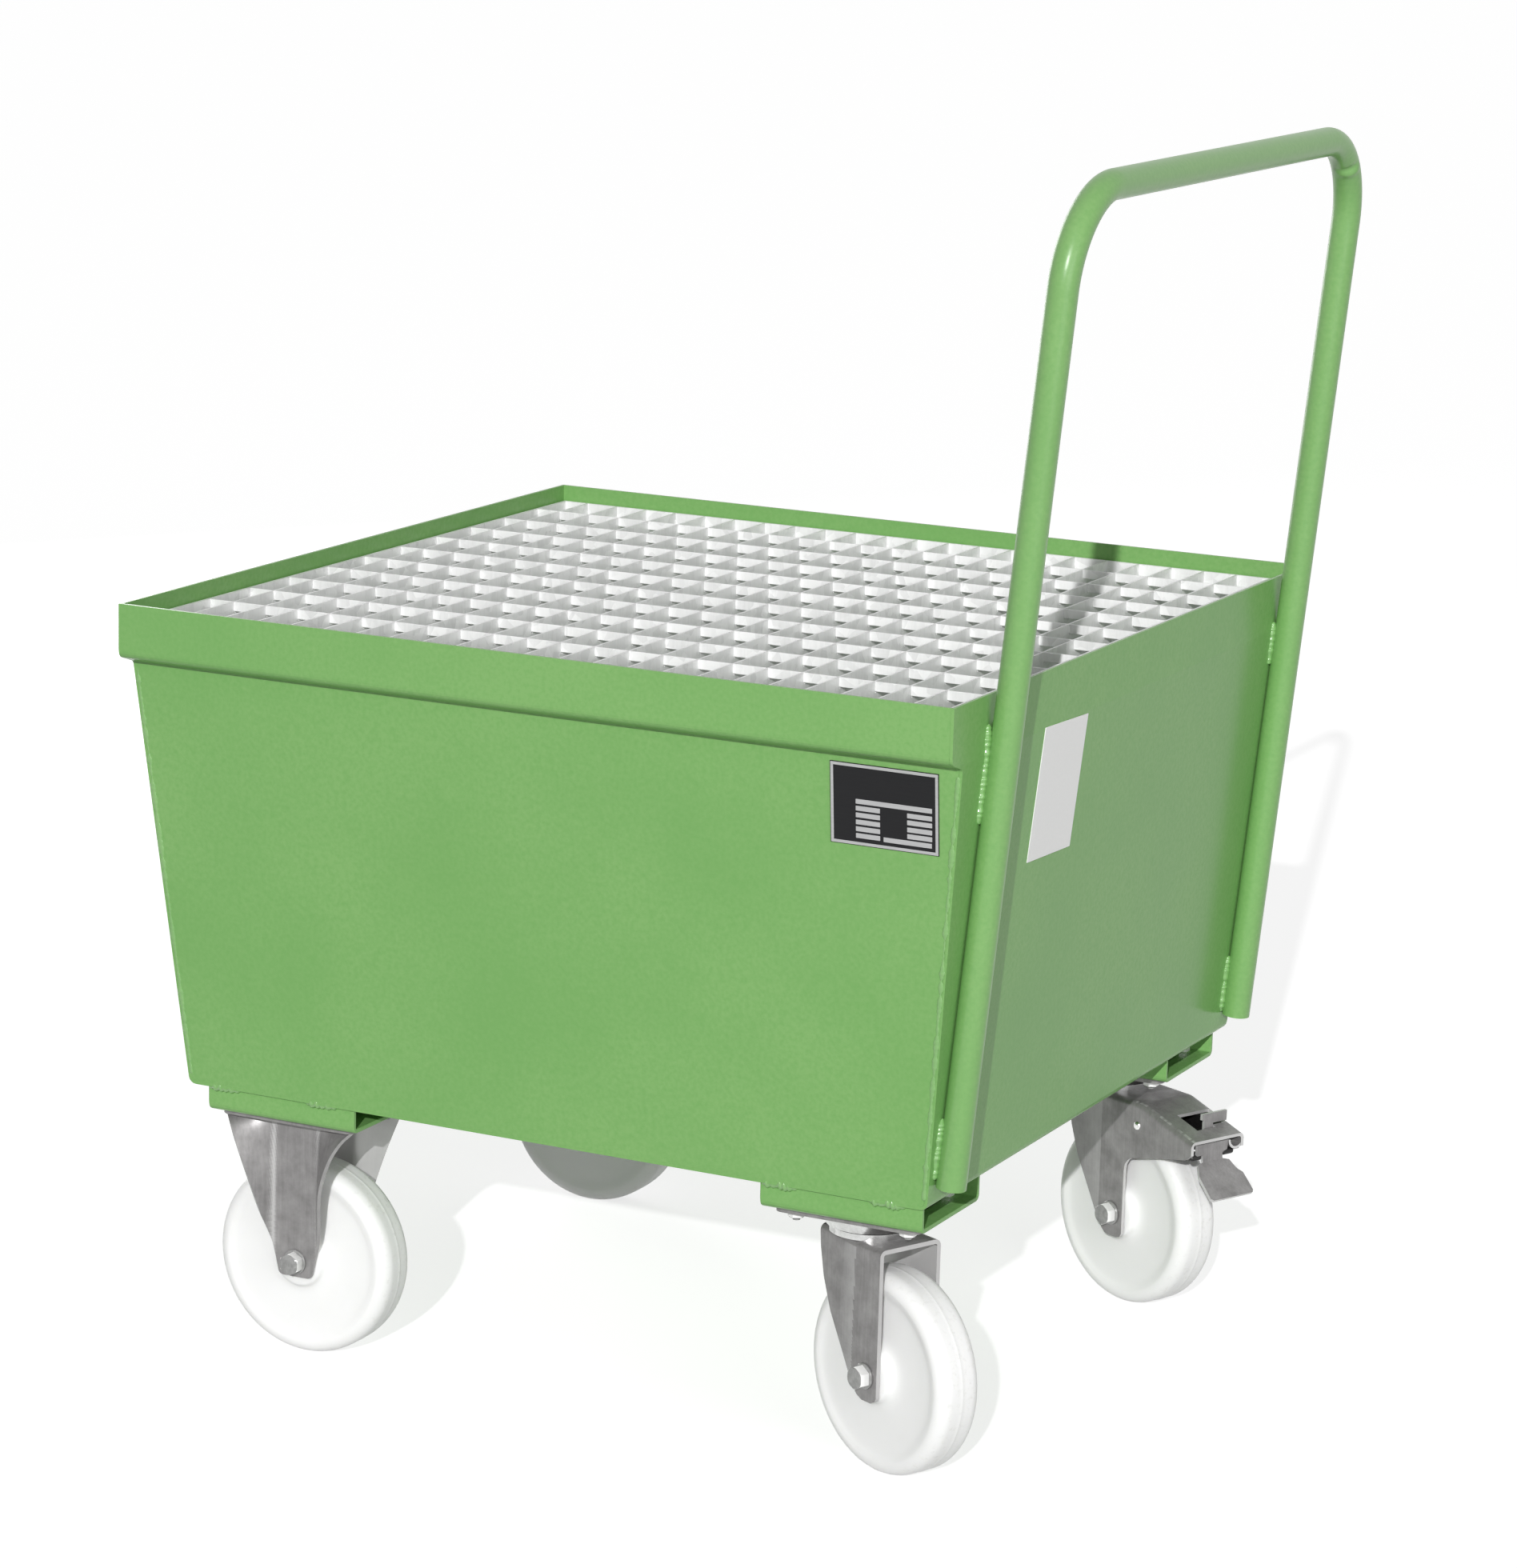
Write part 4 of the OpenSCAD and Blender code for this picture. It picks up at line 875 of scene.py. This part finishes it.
def plateFields():  # thin slabs on the leaning panel, one for each box of left, top, right and bottom
    s = dataPlate
    low, high = boxMm("data_plate")
    down = np.array([0, math.sin(panelLean), -math.cos(panelLean)])
    out = np.array([0, -math.cos(panelLean), -math.sin(panelLean)])
    base = (np.array([low[0], low[1], high[2] - s["back"]]), xAxis, out, down)
    wide, tall = high[0] - low[0], (high[2] - low[2]) / math.cos(panelLean)
    b, e = s["border"], s["inset"]
    boxes = [(e, e, wide - e, b), (e, tall - b, wide - e, tall - e), (e, b, b, tall - b),
             (wide - b, b, wide - e, tall - b)]
    boxes += [(bar[0], bar[2], bar[1], bar[2] + s["row"]) for bar in (s["longBar"], s["lowBar"])]
    boxes += [(s[k][0], y, s[k][1], y + s["row"]) for k in ("left", "right") for y in s[k + "Rows"]]
    fields = [slab(base, (x1 - x0, y1 - y0), ((x0 + x1) / 2, (y0 + y1) / 2), s["corner"], s["sunk"],
                   s["proud"], s["ease"]) for x0, y0, x1, y1 in boxes]
    putPiece("dataPlate_fields", fields, "tub", "plate", material=palePrint)


# document card: stuck on by hand, a little turned on the wall
card = dict(wide=92, tall=117.5, y=-169.2, z=587.5, turn=2.2, back=0.05, proud=0.85, corner=0.6, ease=0.2)


def documentCard():  # one slab, turned in the plane of the right wall
    s = card
    turn = math.radians(s["turn"])
    base = (np.array([tubX + wallHalf(s["z"]), s["y"], s["z"]]),
            yAxis * math.cos(turn) - wallUp * math.sin(turn), wallOut,
            wallUp * math.cos(turn) + yAxis * math.sin(turn))
    sheet = slab(base, (s["wide"], s["tall"]), (0, 0), s["corner"], s["back"], s["proud"], s["ease"])
    putPiece("documentCard_sheet", [sheet], "tub", "card", standsFor=("document_card",))


wheels()
axleBolts()
plateBolts()
fixedForks()
plainFork()
print("stage 4: castors")
hoodedFork()
brakePedal()
print("stage 5: brake")
pushHandle()
weldBeads()
plateFields()
documentCard()
crossBars()
print("stage 6: handle, welds, plate, card and cross bars")


# floor and light: a low sun from the front right, two soft fills, weak light all round, a floor that shows as
# white; lamps are given as degrees round from the front and up, the fills also with watts
studio = dict(
    floorHalf=60.0, floorColour="#C6C6C6", floorRough=0.9, floorGlow=0.715, worldLight=0.20,
    sunAt=(19.0, 22.0), sunStrength=2.44, sunAngle=0.7,
    fills=[(55, 12, 33), (235, 12, 40)], fillAimZ=0.5, fillAway=4.0, fillSize=2.0)


def whiteForTheEye(tree):  # 1 on camera, glossy and transmission rays, else 0
    ray = addNode(tree, "LightPath").outputs
    seen = addNode(tree, "Math", {0: ray["Is Camera Ray"], 1: ray["Is Glossy Ray"]}, operation="MAXIMUM")
    through = {0: seen.outputs[0], 1: ray["Is Transmission Ray"]}
    return addNode(tree, "Math", through, operation="MAXIMUM").outputs[0]


def addLamp(name, kind, strength, turn, rise):  # shines from that place in the sky towards the object
    data = bpy.data.lights.new(name, kind)
    data.energy = strength
    lamp = addObject(name, data)
    lamp.rotation_euler = skyWay(turn, rise).to_track_quat("Z", "Y").to_euler()
    return lamp


def placeStudio():
    s = studio
    white = (1.0, 1.0, 1.0, 1.0)
    half = s["floorHalf"]
    mesh = bpy.data.meshes.new("floor")
    ground = [(-half, -half, 0), (half, -half, 0), (half, half, 0), (-half, half, 0)]
    mesh.from_pydata(ground, [], [(0, 1, 2, 3)])
    floor = addObject("floor", mesh)
    material, tree, surface = startMaterial("paleFloor")[:3]
    glow = addNode(tree, "Math", {0: whiteForTheEye(tree), 1: s["floorGlow"]}, operation="MULTIPLY")
    feed(tree, surface, {"Base Color": linear(s["floorColour"]), "Roughness": s["floorRough"],
                         "Specular IOR Level": 0.0, "Emission Color": white,
                         "Emission Strength": glow.outputs[0]})
    mesh.materials.append(material)

    world = bpy.data.worlds.new("studio")
    world.use_nodes = True
    bpy.context.scene.world = world
    tree = world.node_tree
    level = addNode(tree, "MapRange", {"Value": whiteForTheEye(tree), "To Min": s["worldLight"]})
    feed(tree, tree.nodes["Background"], {"Color": white, "Strength": level.outputs[0]})

    key = addLamp("key", "SUN", s["sunStrength"], *s["sunAt"])
    key.data.angle = math.radians(s["sunAngle"])
    for number, (turn, rise, watts) in enumerate(s["fills"]):
        fill = addLamp("fill%d" % number, "AREA", watts, turn, rise)
        fill.data.size = s["fillSize"]
        fill.location = Vector((0, 0, s["fillAimZ"])) + skyWay(turn, rise) * s["fillAway"]


placeStudio()
print("stage 7: studio")

bpy.context.scene.view_settings.view_transform = "Standard"
